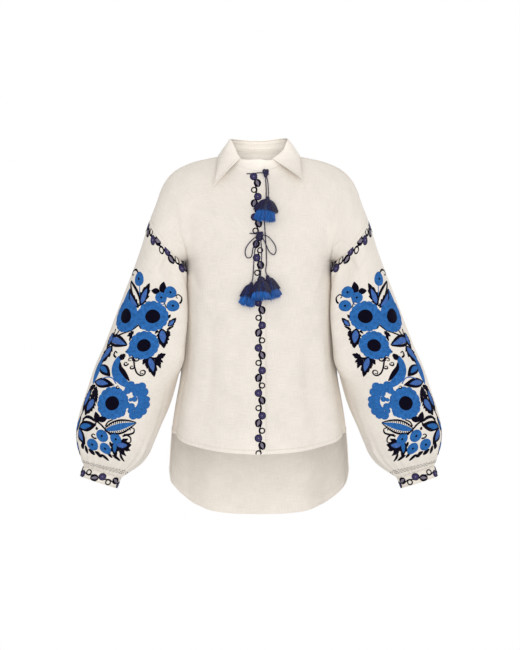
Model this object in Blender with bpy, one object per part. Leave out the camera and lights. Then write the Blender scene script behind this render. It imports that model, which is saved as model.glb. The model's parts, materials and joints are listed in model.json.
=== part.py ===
"""Embroidered blouse with a shirt collar, dropped shoulders, balloon sleeves and tasselled ties.

The blouse is filled out as if it were worn. Tables are in millimetres, and the model is in metres.
+Z is up, the front faces -Y, and the wearer's left is +X. The origin is the middle of the neck at
the height of the shoulders, and a drop is a distance below it.
"""

import functools
import math

import bmesh
import bpy
import numpy as np

MM = 0.001
CLOTH = 1.4  # thickness of the cloth wall
CUFF_CLOTH = 2.0  # the cuff is folded double
SEAM_GAP = 0.3  # between pieces that are sewn together
SHARP_ANGLE = 50  # degrees, above which an edge is shaded sharp

CREAM = (0.83, 0.765, 0.68)
NAVY = (0.022, 0.017, 0.062)
BLUE = (0.032, 0.13, 0.50)
LINEN_ROUGHNESS = 0.85
THREAD_ROUGHNESS = 0.6


def table(columns, *rows):
    """One array for each named column."""
    return dict(zip(columns.split(), np.array(rows, float).T))


# The body below the armpit, as the half rings that the front and the back follow at each level.
ARMPIT_DROP = 225.0
BODY = table(
    "drop half_width front_depth back_depth",
    (225, 157.0, 112, 104),
    (327, 158.5, 119, 107),
    (404, 162.5, 122, 112),
    (473, 169.0, 125, 118),
    (535, 180.0, 128, 124),
    (596, 188.5, 130, 129),
    (664, 193.0, 131, 132),
    (776, 194.0, 131, 135),
)
BODY_ROUND = 0.87  # under 1, the rings are fuller than an ellipse

# How far down each hem reaches, from the centre line (turn 0) to the side seam (turn 1).
FRONT_HEM = table(
    "turn drop",
    (0, 635), (0.2, 631), (0.36, 625), (0.5, 617), (0.65, 606), (0.8, 596), (1, 588),
)
BACK_HEM = table(
    "turn drop",
    (0, 776), (0.2, 773), (0.32, 767), (0.42, 757), (0.55, 744), (0.66, 727), (0.76, 708),
    (0.88, 690), (1, 668),
)

# The neck seam, by angle: 0 at the front, 90 at the shoulder, 180 at the back.
NECK_HALF = 70.0
NECK_FRONT = 64.0
NECK_BACK = 58.0
NECK_SEAM = table("angle z", (0, -34), (30, -26), (60, -10), (90, 4), (120, 9), (180, 9))
NECK_SHARE = 0.3  # of a half panel's width
NECK_STEPS = 5  # in a quarter of the neck
CORNER_SOFTNESS = 0.16  # the turn over which the corner of neck and shoulder is rounded below it
CORNER_SHARPNESS = 6  # how close to the seams the true corner comes back

# Above the armpit the cloth slopes straight to the neck at the centre, and rounds the shoulder.
STRAIGHT_AT_CENTRE = 0.5
STRAIGHT_AT_SHOULDER = 0.14
STRAIGHT_FADE = 0.4  # the turn by which it has changed from one to the other
UNDERARM_LEAN = 1.25  # how far the body's wall leans off the sleeve at the armpit

# The shoulder seam from the neck out to the dropped armhole.
SHOULDER = table(
    "along x z",
    (0, 70.0, 4), (36, 105, -2.5), (84, 152, -15), (113, 178, -28), (138, 196, -45),
    (168, 211, -71), (195, 219.5, -97), (239, 234.4, -137.6),
)

# The sleeve from the armhole to the cuff. A section is a ring between two points of the front view.
SLEEVE = table(
    "outer_x outer_drop inner_x inner_drop depth middle_y bulge gather",
    (234.4, 137.6, 157.0, 225, 75, 0, 12, 0),
    (243, 163, 160.8, 244, 76, -1, 11, 0),
    (254, 198, 160.8, 276, 77, -3, 9, 0),
    (270, 243, 160.8, 313, 77, -6, 6, 0),
    (289, 292, 161.8, 352, 78, -9, 3, 0),
    (308, 342, 164.5, 392, 79, -12, 0, 0),
    (330, 400, 169.5, 440, 81, -15, 0, 0),
    (352, 450, 178, 482, 83, -18, 0, 0),
    (370, 505, 191, 527, 85, -21, 0, 0),
    (385, 552, 207, 569, 84, -24, 0, 0.1),
    (391, 590, 223, 608, 79, -26, 0, 0.5),
    (388, 618, 240, 640, 69, -27, 0, 1.0),
    (381, 642, 262, 665, 53, -28, 0, 1.6),
    (374, 661.5, 295, 687.5, 31, -28, 0, 1.6),
)
SEAM_SECTION = 0
LAST_PLAIN = 9  # the last section without gathers
GATHERS = 24
SLEEVE_SIDES = 24  # points round the plain sections
GATHER_SIDES = 4 * GATHERS

CUFF = table(
    "outer_x outer_drop inner_x inner_drop depth middle_y bulge",
    (374, 661.5, 295, 687.5, 31, -28, 0),
    (379, 672.7, 300, 698.7, 31, -28.5, 0),
    (383.2, 684, 304.5, 710, 30, -29, 0),
)
CUFF_OUT = 0.8  # the cuff covers the ends of the gathers
CUFF_SIDES = 32

# The collar stand's upper edge, by the same angles as the neck seam.
STAND_HALF = 62.0
STAND_FRONT = 57.0
STAND_BACK = 51.0
STAND_EDGE = table(
    "angle right left",
    (0, -8, -8), (28, -8, -8), (40, -6, -1), (60, 20, 14), (76, 34, 30), (95, 36, 36), (180, 35, 35),
)
STAND_END = 10.8  # its right end reaches past the centre, and its left end is tucked under it
STAND_ROWS = 3
STAND_STEP = 9.0  # degrees between the points of its upper edge

# The leaf of the collar starts at each front at an angle on the neck. Its rows roll over the stand,
# and fall to an outer edge. A share runs from the collar point to the middle of the back.
LEAF_START_RIGHT = 39.0
LEAF_START_LEFT = 28.0
LEAF_POINT_RIGHT = (98, -88, -68)
LEAF_POINT_LEFT = (96, -84, -53)
LEAF_EDGE = table(
    "share x y z",
    (0.29, 92, -60, -35), (0.4, 89, -34, -12), (0.5, 87.5, -2, 3), (0.62, 79, 34, 3),
    (0.75, 61, 60, 0), (0.88, 33, 73, -3), (1, 0, 77, -5),
)
LEAF_ROLL = table("outward lift", (0, 3.0), (2.6, 2.2))  # from the stand's upper edge
LEAF_LIFT = 1.4
LEAF_BOW = 2.0  # how far the leaf bulges between its roll and its edge
LEAF_FALLS = 5

# The right front laps over the left one, and its edge runs straight down.
LAP_EDGE = 15.7
LAP_DEPTH = 2.2
LAP_FADE = 40.0

# Soft folds, as ridges (above 0) and troughs of the body's wall. A level runs from the hem, 0, past
# the armpit, 1, to the shoulder, 2, and side is 1 on the wearer's left.
FOLDS = table(
    "front side low_level high_level low_turn high_turn width height",
    (1, 1, 0.00, 1.25, 0.62, 0.55, 0.10, 5.0),
    (1, 1, 0.00, 1.05, 0.42, 0.44, 0.09, -3.5),
    (1, 1, 0.00, 1.10, 0.84, 0.80, 0.07, -4.0),
    (1, -1, 0.00, 1.25, 0.58, 0.52, 0.10, 5.0),
    (1, -1, 0.00, 1.10, 0.38, 0.42, 0.08, -3.0),
    (1, -1, 0.00, 1.00, 0.81, 0.78, 0.07, -4.5),
    (1, 1, 0.86, 1.62, 0.93, 0.80, 0.07, -9.0),
    (1, -1, 0.86, 1.60, 0.93, 0.81, 0.07, -9.0),
    (0, 1, 0.00, 1.30, 0.30, 0.34, 0.10, 6.0),
    (0, 1, 0.00, 1.10, 0.55, 0.50, 0.09, -4.5),
    (0, 1, 0.00, 1.20, 0.76, 0.70, 0.08, 4.0),
    (0, -1, 0.00, 1.35, 0.33, 0.30, 0.10, 6.0),
    (0, -1, 0.00, 1.10, 0.58, 0.52, 0.09, -4.5),
    (0, -1, 0.00, 1.15, 0.79, 0.73, 0.08, 4.0),
    (0, 1, 0.90, 1.60, 0.93, 0.82, 0.07, -8.0),
    (0, -1, 0.90, 1.60, 0.93, 0.82, 0.07, -8.0),
)
FOLD_FADE = 0.9  # the turn from which folds die away towards the side seam

# The knots of the ties. A lift is from the front's cloth to the middle of the piece.
KNOTS = {
    "tie_upper_knot": dict(x=14.2, drop=37.0, lift=6.9, width=13.0, height=19.0, depth=10.0),
    "tie_lower_knot": dict(x=1.8, drop=168.8, lift=6.8, width=13.5, height=13.5, depth=11.0),
}
KNOT_SIDES = 12
KNOT_ROWS = 8

# The tassels hang from their cords. Each has a navy skirt over a longer blue one.
TASSELS = {
    "tassel_upper": dict(top=(19.4, 88.2, 7.8), tip=(11.8, 141.5, 18.5), navy=22.5, blue=19.5),
    "tassel_left": dict(top=(-15.0, 270.0, 5.4), tip=(-27.0, 321.0, 15.5), navy=15.0, blue=14.0),
    "tassel_middle": dict(top=(3.9, 261.0, 12.5), tip=(4.5, 308.5, 30.0), navy=16.0, blue=15.0),
    "tassel_right": dict(top=(17.0, 255.5, 5.4), tip=(34.5, 305.0, 15.5), navy=13.5, blue=12.5),
}
TASSEL_HEAD = table("share half_width half_depth", (0, 1.7, 1.7), (0.05, 3.4, 3.1), (0.16, 4.8, 4.4))
TASSEL_CORE = table("share half_width half_depth", (0.166, 2.6, 2.2), (0.2, 3.4, 2.9))
SKIRT_DEPTH = 7.6
CORE_DEPTH = 6.0
NAVY_STRANDS = 14
BLUE_STRANDS = 10
STRAND_TIPS = {"navy": 0.6, "blue": 1.0}
STRAND_GAP = 0.14  # between the roots of two strands
STRAND_WIDTH = 0.9  # of the space that each strand has
STRAND_DEPTH = 1.6
TASSEL_SPREAD = 0.65  # under 1, the skirts are domed
UNEVEN_TIPS = 0.06

CORD_THICKNESS = 2.4
CORD_STEP = 3.3 * CORD_THICKNESS
CORD_GAP = 0.4  # between a cord's end and its knot

# The cords' routes over the front, as x, drop and lift. A route starts or ends at the named piece.
CORDS = {
    "tie_upper_band": dict(
        start=None, end="tie_upper_knot", route=((-26, 39, 1.7), (-12, 38.6, 2.6), (-2, 37.4, 4.8)),
    ),
    "tie_upper_short": dict(
        start="tie_upper_knot", end="tassel_upper", route=((18.6, 56, 6.6), (19.8, 72, 7.0)),
    ),
    "tie_upper_long": dict(
        start="tie_upper_knot", end="tassel_right",
        route=(
            (14.4, 56, 3.2), (15.4, 72, 2.2), (14.8, 95, 1.7), (12.6, 120, 1.7), (11.6, 142, 1.7),
            (13, 165, 1.7), (14.6, 188, 1.7), (15.6, 212, 1.8), (16, 232, 3.0),
        ),
    ),
    "tie_lower_band": dict(
        start=None, end="tie_lower_knot", route=((-19.5, 167, 1.7), (-13.5, 167.5, 3.4)),
    ),
    "tie_lower_loop_left": dict(
        start="tie_lower_knot", end="tie_lower_knot",
        route=(
            (-10.5, 178, 6.0), (-20, 187, 4.2), (-28, 200, 3.0), (-29, 211, 2.6), (-23.5, 219.5, 2.4),
            (-16.5, 217.5, 2.4), (-14, 205, 2.8), (-9.5, 190, 5.4), (-4.4, 179.5, 10.0),
        ),
    ),
    "tie_lower_loop_right": dict(
        start="tie_lower_knot", end="tie_lower_knot",
        route=(
            (16.5, 172.5, 7.4), (26, 181, 5.8), (34, 193, 3.8), (36, 205, 2.6), (31, 212.5, 2.4),
            (23, 207.5, 3.6), (17, 196, 5.4), (11.5, 183.5, 6.8),
        ),
    ),
    "tie_lower_end_left": dict(
        start="tie_lower_knot", end="tassel_left",
        route=((-2.2, 181, 3.6), (-5.6, 191, 2.2), (-8, 200, 1.8), (-10.4, 222, 1.8), (-12, 248, 2.8)),
    ),
    "tie_lower_end_right": dict(
        start="tie_lower_knot", end="tassel_middle",
        route=((4.2, 186, 5.4), (5.6, 204, 2.8), (5.4, 226, 4.4), (4.2, 244, 9.2)),
    ),
}


def smooth(share):
    """From 0 to 1, level at both ends."""
    share = np.clip(share, 0, 1)
    return share * share * (3 - 2 * share)


def curve(x, xs, ys):
    """The smooth curve through the points of two columns."""
    slopes = np.gradient(ys, xs)
    left = np.clip(np.searchsorted(xs, x, side="right") - 1, 0, len(xs) - 2)
    span = xs[left + 1] - xs[left]
    t = (x - xs[left]) / span
    return (
        (1 + 2 * t) * (1 - t) ** 2 * ys[left]
        + t * (1 - t) ** 2 * span * slopes[left]
        + t * t * (3 - 2 * t) * ys[left + 1]
        + t * t * (t - 1) * span * slopes[left + 1]
    )


def unit(vectors):
    return vectors / np.maximum(np.linalg.norm(vectors, axis=-1, keepdims=True), 1e-9)


def neck(angle, raised=0.0):
    """A point of the neck seam, or of the stand's upper edge where raised is 1.

    The angle is above 0 on the wearer's left, and may pass 180 or -180.
    """
    angle = np.asarray(angle, float)
    turn = np.radians(angle)
    from_front = np.abs(np.mod(angle + 180, 360) - 180)
    half = NECK_HALF + (STAND_HALF - NECK_HALF) * raised
    front = NECK_FRONT + (STAND_FRONT - NECK_FRONT) * raised
    back = NECK_BACK + (STAND_BACK - NECK_BACK) * raised
    edges = [STAND_EDGE["right"], STAND_EDGE["left"]]
    right, left = (curve(from_front, STAND_EDGE["angle"], heights) for heights in edges)
    edge = np.where(np.sin(turn) < 0, right, left)
    low = curve(from_front, NECK_SEAM["angle"], NECK_SEAM["z"])
    y = -np.cos(turn) * np.where(np.cos(turn) > 0, front, back)
    return np.stack([half * np.sin(turn), y, low + (edge - low) * raised], -1)


def ring_point(section, theta, out=0.0):
    """A point of a sleeve or cuff section. Theta is 0 at its outer side and 180 at its inner side."""
    outer = np.stack([section["outer_x"], np.zeros_like(theta), -section["outer_drop"]], -1)
    inner = np.stack([section["inner_x"], np.zeros_like(theta), -section["inner_drop"]], -1)
    half = (outer - inner) / 2
    length = np.linalg.norm(half, axis=-1)
    angle = np.radians(theta)
    across = half * ((length + out) / length * np.cos(angle))[..., None]
    point = (outer + inner) / 2 + across
    point[..., 1] += section["middle_y"] - (section["depth"] + out) * np.sin(angle)
    # The ring bows towards the wrist at its front and its back.
    bow = section["bulge"] * np.abs(np.sin(angle)) / length
    point[..., 0] += half[..., 2] * bow
    point[..., 2] -= half[..., 0] * bow
    return point


def section_at(sections, place, theta):
    """The section at a place between the rows of a table, one for each theta."""
    steps = np.arange(len(sections["outer_x"]), dtype=float)
    place = np.broadcast_to(np.asarray(place, float), theta.shape)
    return {name: curve(place, steps, column) for name, column in sections.items()}


def sleeve_point(place, theta, out=0.0):
    """A point of the left sleeve, whose place runs from the armhole, 0, to the cuff."""
    theta = np.asarray(theta, float)
    section = section_at(SLEEVE, place, theta)
    wave = section["gather"] * np.cos(np.radians(GATHERS * theta))
    return ring_point(section, theta, out + wave)


def armhole(front, theta):
    """A point of the armhole seam on the front or the back half of its ring."""
    return sleeve_point(SEAM_SECTION, theta if front else -theta)


def body_ring(front, turn, drop):
    """A point of the body below the armpit, from the centre line (turn 0) to the side seam."""
    half = curve(drop, BODY["drop"], BODY["half_width"])
    depth = curve(drop, BODY["drop"], BODY["front_depth" if front else "back_depth"])
    angle = turn * math.pi / 2
    x = half * np.sin(angle) ** BODY_ROUND
    y = depth * np.maximum(np.cos(angle), 0) ** BODY_ROUND
    return np.stack([x, -y if front else y, -drop], -1)


def top_edge(front, turn):
    """A point of a panel's upper edge: the neck seam, then the shoulder seam."""
    neck_angle = 90 * np.minimum(turn / NECK_SHARE, 1)
    on_neck = neck(neck_angle if front else 180 - neck_angle)
    along = SHOULDER["along"][-1] * np.clip((turn - NECK_SHARE) / (1 - NECK_SHARE), 0, 1)
    on_shoulder = np.stack(
        [
            curve(along, SHOULDER["along"], SHOULDER["x"]),
            np.zeros_like(turn),
            curve(along, SHOULDER["along"], SHOULDER["z"]),
        ],
        -1,
    )
    return np.where((turn < NECK_SHARE)[..., None], on_neck, on_shoulder)


def soft_top_edge(front, turn):
    """The upper edge with its corner at the neck rounded, for the cloth below it."""
    end = top_edge(front, np.ones_like(turn))
    total = np.zeros((*turn.shape, 3))
    offsets = np.linspace(-CORNER_SOFTNESS, CORNER_SOFTNESS, 9)
    for offset in offsets:
        at = turn + offset
        point = top_edge(front, np.clip(np.abs(at), 0, 1))
        point[..., 0] *= np.where(at < 0, -1, 1)
        past_end = 2 * end - top_edge(front, np.clip(2 - at, 0, 1))
        total += np.where((at > 1)[..., None], past_end, point)
    return total / len(offsets)


def upper_body(front, turn, rise):
    """A point above the armpit. Rise is 0 at the armpit's level and 1 at the neck and shoulder."""
    ease = rise * math.pi / 2
    fade = smooth(turn / STRAIGHT_FADE)
    straight = STRAIGHT_AT_CENTRE + (STRAIGHT_AT_SHOULDER - STRAIGHT_AT_CENTRE) * fade
    inward = straight * rise + (1 - straight) * (1 - np.cos(ease))
    upward = straight * rise + (1 - straight) * np.sin(ease)
    weights = np.stack([rise, inward, upward], -1)
    armpit = np.full_like(turn, ARMPIT_DROP)
    low = body_ring(front, turn, armpit)
    low_side = body_ring(front, np.ones_like(turn), armpit)
    high = top_edge(front, turn)
    high_side = top_edge(front, np.ones_like(turn))
    soft = soft_top_edge(front, turn)
    corner = (rise**CORNER_SHARPNESS)[..., None] * (high - soft)
    middle = low + (soft - low) * weights + corner
    side = low_side + (high_side - low_side) * weights
    edge = armhole(front, 180 * (1 - rise))
    return middle + (turn**3)[..., None] * (edge - side)


def fold_height(front, side, turn, level):
    """How far the folds move a point of the body outwards."""
    height = np.zeros_like(turn)
    for row in range(len(FOLDS["side"])):
        fold = {name: column[row] for name, column in FOLDS.items()}
        if bool(fold["front"]) != front or fold["side"] != side:
            continue
        share = np.clip((level - fold["low_level"]) / (fold["high_level"] - fold["low_level"]), 0, 1)
        middle = fold["low_turn"] + (fold["high_turn"] - fold["low_turn"]) * share
        starts_at_hem = fold["low_level"] == 0
        fade = (1 - smooth(share)) if starts_at_hem else np.sin(np.pi * share) ** 2
        height += fold["height"] * fade * np.exp(-(((turn - middle) / fold["width"]) ** 2))
    return height * (1 - smooth((turn - FOLD_FADE) / (1 - FOLD_FADE)))


def body_point(front, side, turn, level):
    """A point of the body's outer face. Level is 0 at the hem, 1 at the armpit and 2 at the top."""
    turn, level = np.broadcast_arrays(np.asarray(turn, float), np.asarray(level, float))
    past_centre = np.where(turn < 0, -1.0, 1.0)
    turn = np.abs(turn)
    hem = FRONT_HEM if front else BACK_HEM
    hem_drop = curve(turn, hem["turn"], hem["drop"])
    below = body_ring(front, turn, hem_drop + (ARMPIT_DROP - hem_drop) * np.clip(level, 0, 1))
    above = upper_body(front, turn, np.clip(level - 1, 0, 1))
    point = np.where((level <= 1)[..., None], below, above)
    height = fold_height(front, side, turn, level)
    reach = np.maximum(np.hypot(point[..., 0], point[..., 1]), 1)
    point[..., :2] *= (1 + height / reach)[..., None]
    point[..., 0] *= side * past_centre
    return point


def turn_at(side, x, level):
    """The turn at which a level of the front is x from the centre line."""
    turn = np.full(np.shape(level), 0.07)
    for _ in range(8):
        now = np.abs(body_point(True, side, turn, level)[..., 0])
        turn = turn * (x / now) ** (1 / BODY_ROUND)
    return turn


@functools.cache
def front_samples():
    """Points all over the middle of the front, close together."""
    turns = np.linspace(0, 0.5, 61)
    levels = np.linspace(0.3, 2, 201)[:, None]
    halves = [body_point(True, side, turns, levels).reshape(-1, 3) for side in (-1, 1)]
    return np.concatenate(halves)


def front_y(x, drop):
    """The depth of the front's outer face at a point of the front view, from the nearest samples."""
    samples = front_samples()
    offsets = samples[:, [0, 2]] - (x, -drop)
    near = np.argsort(np.hypot(*offsets.T))[:8]
    columns = np.column_stack([offsets[near], np.ones(len(near))])
    return np.linalg.lstsq(columns, samples[near, 1], rcond=None)[0][2]


def before_front(x, drop, lift):
    """The point of the front view that lies off the front's cloth by the lift."""
    return np.array([x, front_y(x, drop) - lift, -drop])


def inward_of(points, towards):
    """Unit normals of a grid of points, on the side that faces the given point."""
    rows = np.gradient(points, axis=0)
    columns = np.gradient(points, axis=1)
    normal = unit(np.cross(rows, columns))
    facing = np.sum(normal * (towards - points), axis=-1, keepdims=True)
    return np.where(facing < 0, -normal, normal)


def make_material(name, colour, roughness):
    material = bpy.data.materials.new(name)
    material.use_nodes = True
    shader = material.node_tree.nodes["Principled BSDF"]
    shader.inputs["Base Color"].default_value = (*colour, 1)
    shader.inputs["Roughness"].default_value = roughness
    shader.inputs["Metallic"].default_value = 0
    return material


def finish(name, work, material):
    """Turn the working mesh, in millimetres, into an object."""
    bmesh.ops.scale(work, vec=(MM, MM, MM), verts=work.verts)
    bmesh.ops.recalc_face_normals(work, faces=work.faces)
    mesh = bpy.data.meshes.new(name)
    work.to_mesh(mesh)
    work.free()
    mesh.shade_smooth()
    mesh.set_sharp_from_angle(angle=math.radians(SHARP_ANGLE))
    mesh.materials.append(material)
    obj = bpy.data.objects.new(name, mesh)
    bpy.context.scene.collection.objects.link(obj)


def add_mesh(name, points, faces, material):
    """A closed mesh object from points in millimetres and faces of their numbers."""
    work = bmesh.new()
    verts = [work.verts.new(point) for point in points]
    for face in faces:
        work.faces.new([verts[number] for number in face])
    finish(name, work, material)


def wall(name, outer, inner, material, closed=False):
    """A wall of cloth between two grids of points. Closed joins the last column to the first."""
    rows, columns = outer.shape[:2]
    points = np.concatenate([outer.reshape(-1, 3), inner.reshape(-1, 3)])
    outer_numbers = np.arange(rows * columns).reshape(rows, columns)
    if closed:
        outer_numbers = np.hstack([outer_numbers, outer_numbers[:, :1]])
    inner_numbers = outer_numbers + rows * columns

    def strip(first, second):
        """The faces between two lines of point numbers."""
        return [
            (first[i], first[i + 1], second[i + 1], second[i])
            for i in range(len(first) - 1)
        ]

    faces = []
    for row in range(rows - 1):
        faces += strip(outer_numbers[row], outer_numbers[row + 1])
        faces += strip(inner_numbers[row], inner_numbers[row + 1])
    for row in (0, -1):
        faces += strip(outer_numbers[row], inner_numbers[row])
    if not closed:
        for column in (0, -1):
            faces += strip(outer_numbers[:, column], inner_numbers[:, column])
    add_mesh(name, points, faces, material)


# Levels of a panel's rows: even steps to the armpit, then one for each point of the armhole.
LOW_LEVELS = np.linspace(0, 1, 9)
HIGH_LEVELS = 1 + np.arange(1, SLEEVE_SIDES // 2 + 1) / (SLEEVE_SIDES // 2)
LEVELS = np.concatenate([LOW_LEVELS, HIGH_LEVELS])
ARMPIT_ROW = len(LOW_LEVELS) - 1
NECK_TURNS = np.linspace(0, NECK_SHARE, NECK_STEPS + 1)
SIDE_TURNS = np.linspace(NECK_SHARE, 1, 8)[1:]
TURNS = np.concatenate([NECK_TURNS, SIDE_TURNS])


def seam_normal():
    """The direction across the armhole seam, towards the wrist."""
    drop = SLEEVE["inner_drop"][0] - SLEEVE["outer_drop"][0]
    width = SLEEVE["outer_x"][0] - SLEEVE["inner_x"][0]
    return unit(np.array([drop, 0, -width]))


def armhole_inward(theta, ring):
    """Where the wall points at the armhole: to the ring's middle, and off the sleeve at the armpit."""
    side_on = np.array([90.0])
    middle = ring_point(section_at(SLEEVE, SEAM_SECTION, side_on), side_on)[0]
    middle[1] = 0
    inward = unit(middle - ring)
    underarm = np.maximum(-np.cos(np.radians(theta)), 0) ** 4
    inward[:, 0] -= UNDERARM_LEAN * underarm
    return unit(inward)


def half_panel(front, side):
    """The outer points of a half panel and the inward directions of its wall."""
    outer = body_point(front, side, TURNS, LEVELS[:, None])
    inward = inward_of(outer, np.array([0, 0, -ARMPIT_DROP]))
    seam_y = SEAM_GAP / 2 * (-1 if front else 1)
    mirror = np.array([side, 1, 1])

    # The side seam.
    inward[:ARMPIT_ROW, -1] = (-side, 0, 0)
    outer[:ARMPIT_ROW, -1, 1] = seam_y

    # The armhole, whose ring is shared with the sleeve.
    theta = 180 * (2 - LEVELS[ARMPIT_ROW:])
    ring = armhole(front, theta)
    inward[ARMPIT_ROW:, -1] = armhole_inward(theta, ring) * mirror
    outer[ARMPIT_ROW:, -1] = (ring - seam_normal() * SEAM_GAP / 2) * mirror
    outer[ARMPIT_ROW, -1, 1] = seam_y

    # The shoulder seam, whose wall points straight in from the ridge.
    on_shoulder = (TURNS >= NECK_SHARE - 1e-9) & (TURNS < 1)
    along = unit(np.gradient(top_edge(front, TURNS), axis=0))
    across = np.stack([along[:, 2], np.zeros(len(TURNS)), -along[:, 0]], -1)
    inward[-1, on_shoulder] = unit(across[on_shoulder]) * mirror
    outer[-1, TURNS >= NECK_SHARE - 1e-9, 1] = seam_y
    return outer, inward


def build_fronts(material):
    for side, name in ((-1, "front_right"), (1, "front_left")):
        outer, inward = half_panel(True, side)
        lap = body_point(True, side, -turn_at(side, LAP_EDGE, LEVELS), LEVELS)
        lap_inward = unit(inward[:, :1] * np.array([0, 1, 1]))
        outer = np.concatenate([lap[:, None], outer], axis=1)
        inward = np.concatenate([lap_inward, inward], axis=1)
        if side == 1:
            outer[..., 1] += LAP_DEPTH * (1 - smooth((outer[..., 0] - LAP_EDGE) / LAP_FADE))
        wall(name, outer, outer + inward * CLOTH, material)


def build_back(material):
    left_outer, left_inward = half_panel(False, 1)
    right_outer, right_inward = half_panel(False, -1)
    outer = np.concatenate([right_outer[:, :0:-1], left_outer], axis=1)
    inward = np.concatenate([right_inward[:, :0:-1], left_inward], axis=1)
    wall("back", outer, outer + inward * CLOTH, material)


def build_sleeves(material):
    """Each sleeve is plain rings down to the gathers, then finer rings that carry them."""
    plain = np.arange(SLEEVE_SIDES) * 360 / SLEEVE_SIDES
    fine = np.arange(GATHER_SIDES) * 360 / GATHER_SIDES
    rings = [(place, plain if place <= LAST_PLAIN else fine) for place in range(len(SLEEVE["gather"]))]
    for side, name in ((-1, "sleeve_right"), (1, "sleeve_left")):
        points = []
        numbers = []
        for out in (0, -CLOTH):
            for place, theta in rings:
                ring = sleeve_point(place, theta, out)
                if place == SEAM_SECTION:
                    ring = ring + seam_normal() * SEAM_GAP / 2
                numbers.append(len(points) + np.arange(len(theta)))
                points.extend(ring * np.array([side, 1, 1]))
        outside, inside = numbers[: len(rings)], numbers[len(rings) :]
        faces = []
        for layer in (outside, inside):
            for upper, lower in zip(layer[:-1], layer[1:]):
                faces += ring_faces(upper, lower)
        faces += ring_faces(outside[0], inside[0])
        faces += ring_faces(outside[-1], inside[-1])
        add_mesh(name, points, faces, material)


def ring_faces(first, second):
    """The faces between two rings, of which the second may have a multiple of the first's points."""
    ratio = len(second) // len(first)
    faces = []
    for i in range(len(first)):
        fan = [second[(i * ratio + k) % len(second)] for k in range(ratio, -1, -1)]
        faces.append((first[i], first[(i + 1) % len(first)], *fan))
    return faces


def build_cuffs(material):
    theta = np.arange(CUFF_SIDES) * 360 / CUFF_SIDES
    for side, name in ((-1, "cuff_right"), (1, "cuff_left")):
        layers = []
        for out in (CUFF_OUT, CUFF_OUT - CUFF_CLOTH):
            sections = [section_at(CUFF, row, theta) for row in range(len(CUFF["depth"]))]
            rows = [ring_point(section, theta, out) for section in sections]
            lowered = np.array(rows) - np.array([0, 0, SEAM_GAP])
            layers.append(lowered * np.array([side, 1, 1]))
        wall(name, layers[0], layers[1], material, closed=True)


def build_stand(material):
    """The stand runs from the right front's edge round the back, and its left end is tucked under."""
    end = math.degrees(math.asin(STAND_END / NECK_HALF))
    angles = np.concatenate([[end], np.arange(0, -361, -STAND_STEP), [-360 - end]])
    raised = np.linspace(0, 1, STAND_ROWS)
    outer = np.array([neck(angles, share) for share in raised])
    # Its lower edge follows the straight lines between the points of the panels' edges.
    seam_angles = np.arange(-378, 19, 90 / NECK_STEPS)
    seam = neck(seam_angles)
    outer[0] = np.stack([np.interp(angles, seam_angles, seam[:, axis]) for axis in range(3)], -1)
    outer[0, :, 2] += SEAM_GAP
    inward = unit(outer * np.array([-1, -1, 0]))
    on_left_front = angles < -180
    tuck = LAP_DEPTH * (1 - smooth((outer[..., 0] - LAP_EDGE) / LAP_FADE)) * on_left_front
    outer = outer + inward * tuck[..., None]
    wall("collar_stand", outer, outer + inward * CLOTH, material)


def leaf_half(side, start, point):
    """Half of the leaf's outer face. It rolls over the stand's upper edge and falls to its edge."""
    on_stand = np.arange(0, 181, STAND_STEP)
    angles = np.concatenate([[start], on_stand[on_stand > start + STAND_STEP / 3]])
    shares = (angles - start) / (180 - start)
    fold = neck(side * angles, 1.0)
    outwards = unit(fold * np.array([1, 1, 0]))
    edge_shares = np.concatenate([[0], LEAF_EDGE["share"]])
    edge = [
        curve(shares, edge_shares, np.concatenate([[first], LEAF_EDGE[axis]]))
        for axis, first in zip("xyz", point)
    ]
    edge = np.stack(edge, -1) * np.array([side, 1, 1])
    up = np.array([0, 0, 1])
    rows = [
        fold + outwards * outward + up * lift
        for outward, lift in zip(LEAF_ROLL["outward"], LEAF_ROLL["lift"])
    ]
    crest = fold + outwards * LEAF_ROLL["outward"][-1] + up * LEAF_LIFT
    for fall in np.arange(1, LEAF_FALLS) / (LEAF_FALLS - 1):
        bow = outwards * LEAF_BOW * math.sin(math.pi * fall)
        rows.append(crest + (edge - crest) * fall + bow)
    return np.array(rows)


def build_leaf(material):
    right = leaf_half(-1, LEAF_START_RIGHT, LEAF_POINT_RIGHT)
    left = leaf_half(1, LEAF_START_LEFT, LEAF_POINT_LEFT)
    outer = np.concatenate([right, left[:, -2::-1]], axis=1)
    inside_neck = np.array([0, 0, -60])
    inward = inward_of(outer, inside_neck)
    # The wall's end inside the roll points down to the stand.
    inward[0] = unit(inward[0] * np.array([0.4, 0.4, 0]) + np.array([0, 0, -1]))
    wall("collar_leaf", outer, outer + inward * CLOTH, material)


def knot_frame(name):
    """The middle of a knot and its half sizes."""
    knot = KNOTS[name]
    middle = before_front(knot["x"], knot["drop"], knot["lift"])
    return middle, np.array([knot["width"], knot["depth"], knot["height"]]) / 2


def build_knots(material):
    for name in KNOTS:
        middle, half = knot_frame(name)
        work = bmesh.new()
        bmesh.ops.create_uvsphere(work, u_segments=KNOT_SIDES, v_segments=KNOT_ROWS, radius=1)
        bmesh.ops.scale(work, vec=half, verts=work.verts)
        bmesh.ops.translate(work, vec=middle, verts=work.verts)
        finish(name, work, material)


def tassel_frame(name):
    """The top of a tassel, the vector down its length and its direction across."""
    top = before_front(*TASSELS[name]["top"])
    down = before_front(*TASSELS[name]["tip"]) - top
    across = unit(np.cross(np.array([0, -1, 0]), down))
    return top, down, across


def cord_end(name, neighbour):
    """The end points of a cord at a knot or a tassel, the outermost first."""
    if name in KNOTS:
        middle, half = knot_frame(name)
        away = unit(neighbour - middle)
        radius = 1 / np.linalg.norm(away / half)
        return [middle + away * (radius + CORD_GAP)]
    top, down, _ = tassel_frame(name)
    up = -unit(down)
    return [top + up * SEAM_GAP, top + up * CORD_STEP]


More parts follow.
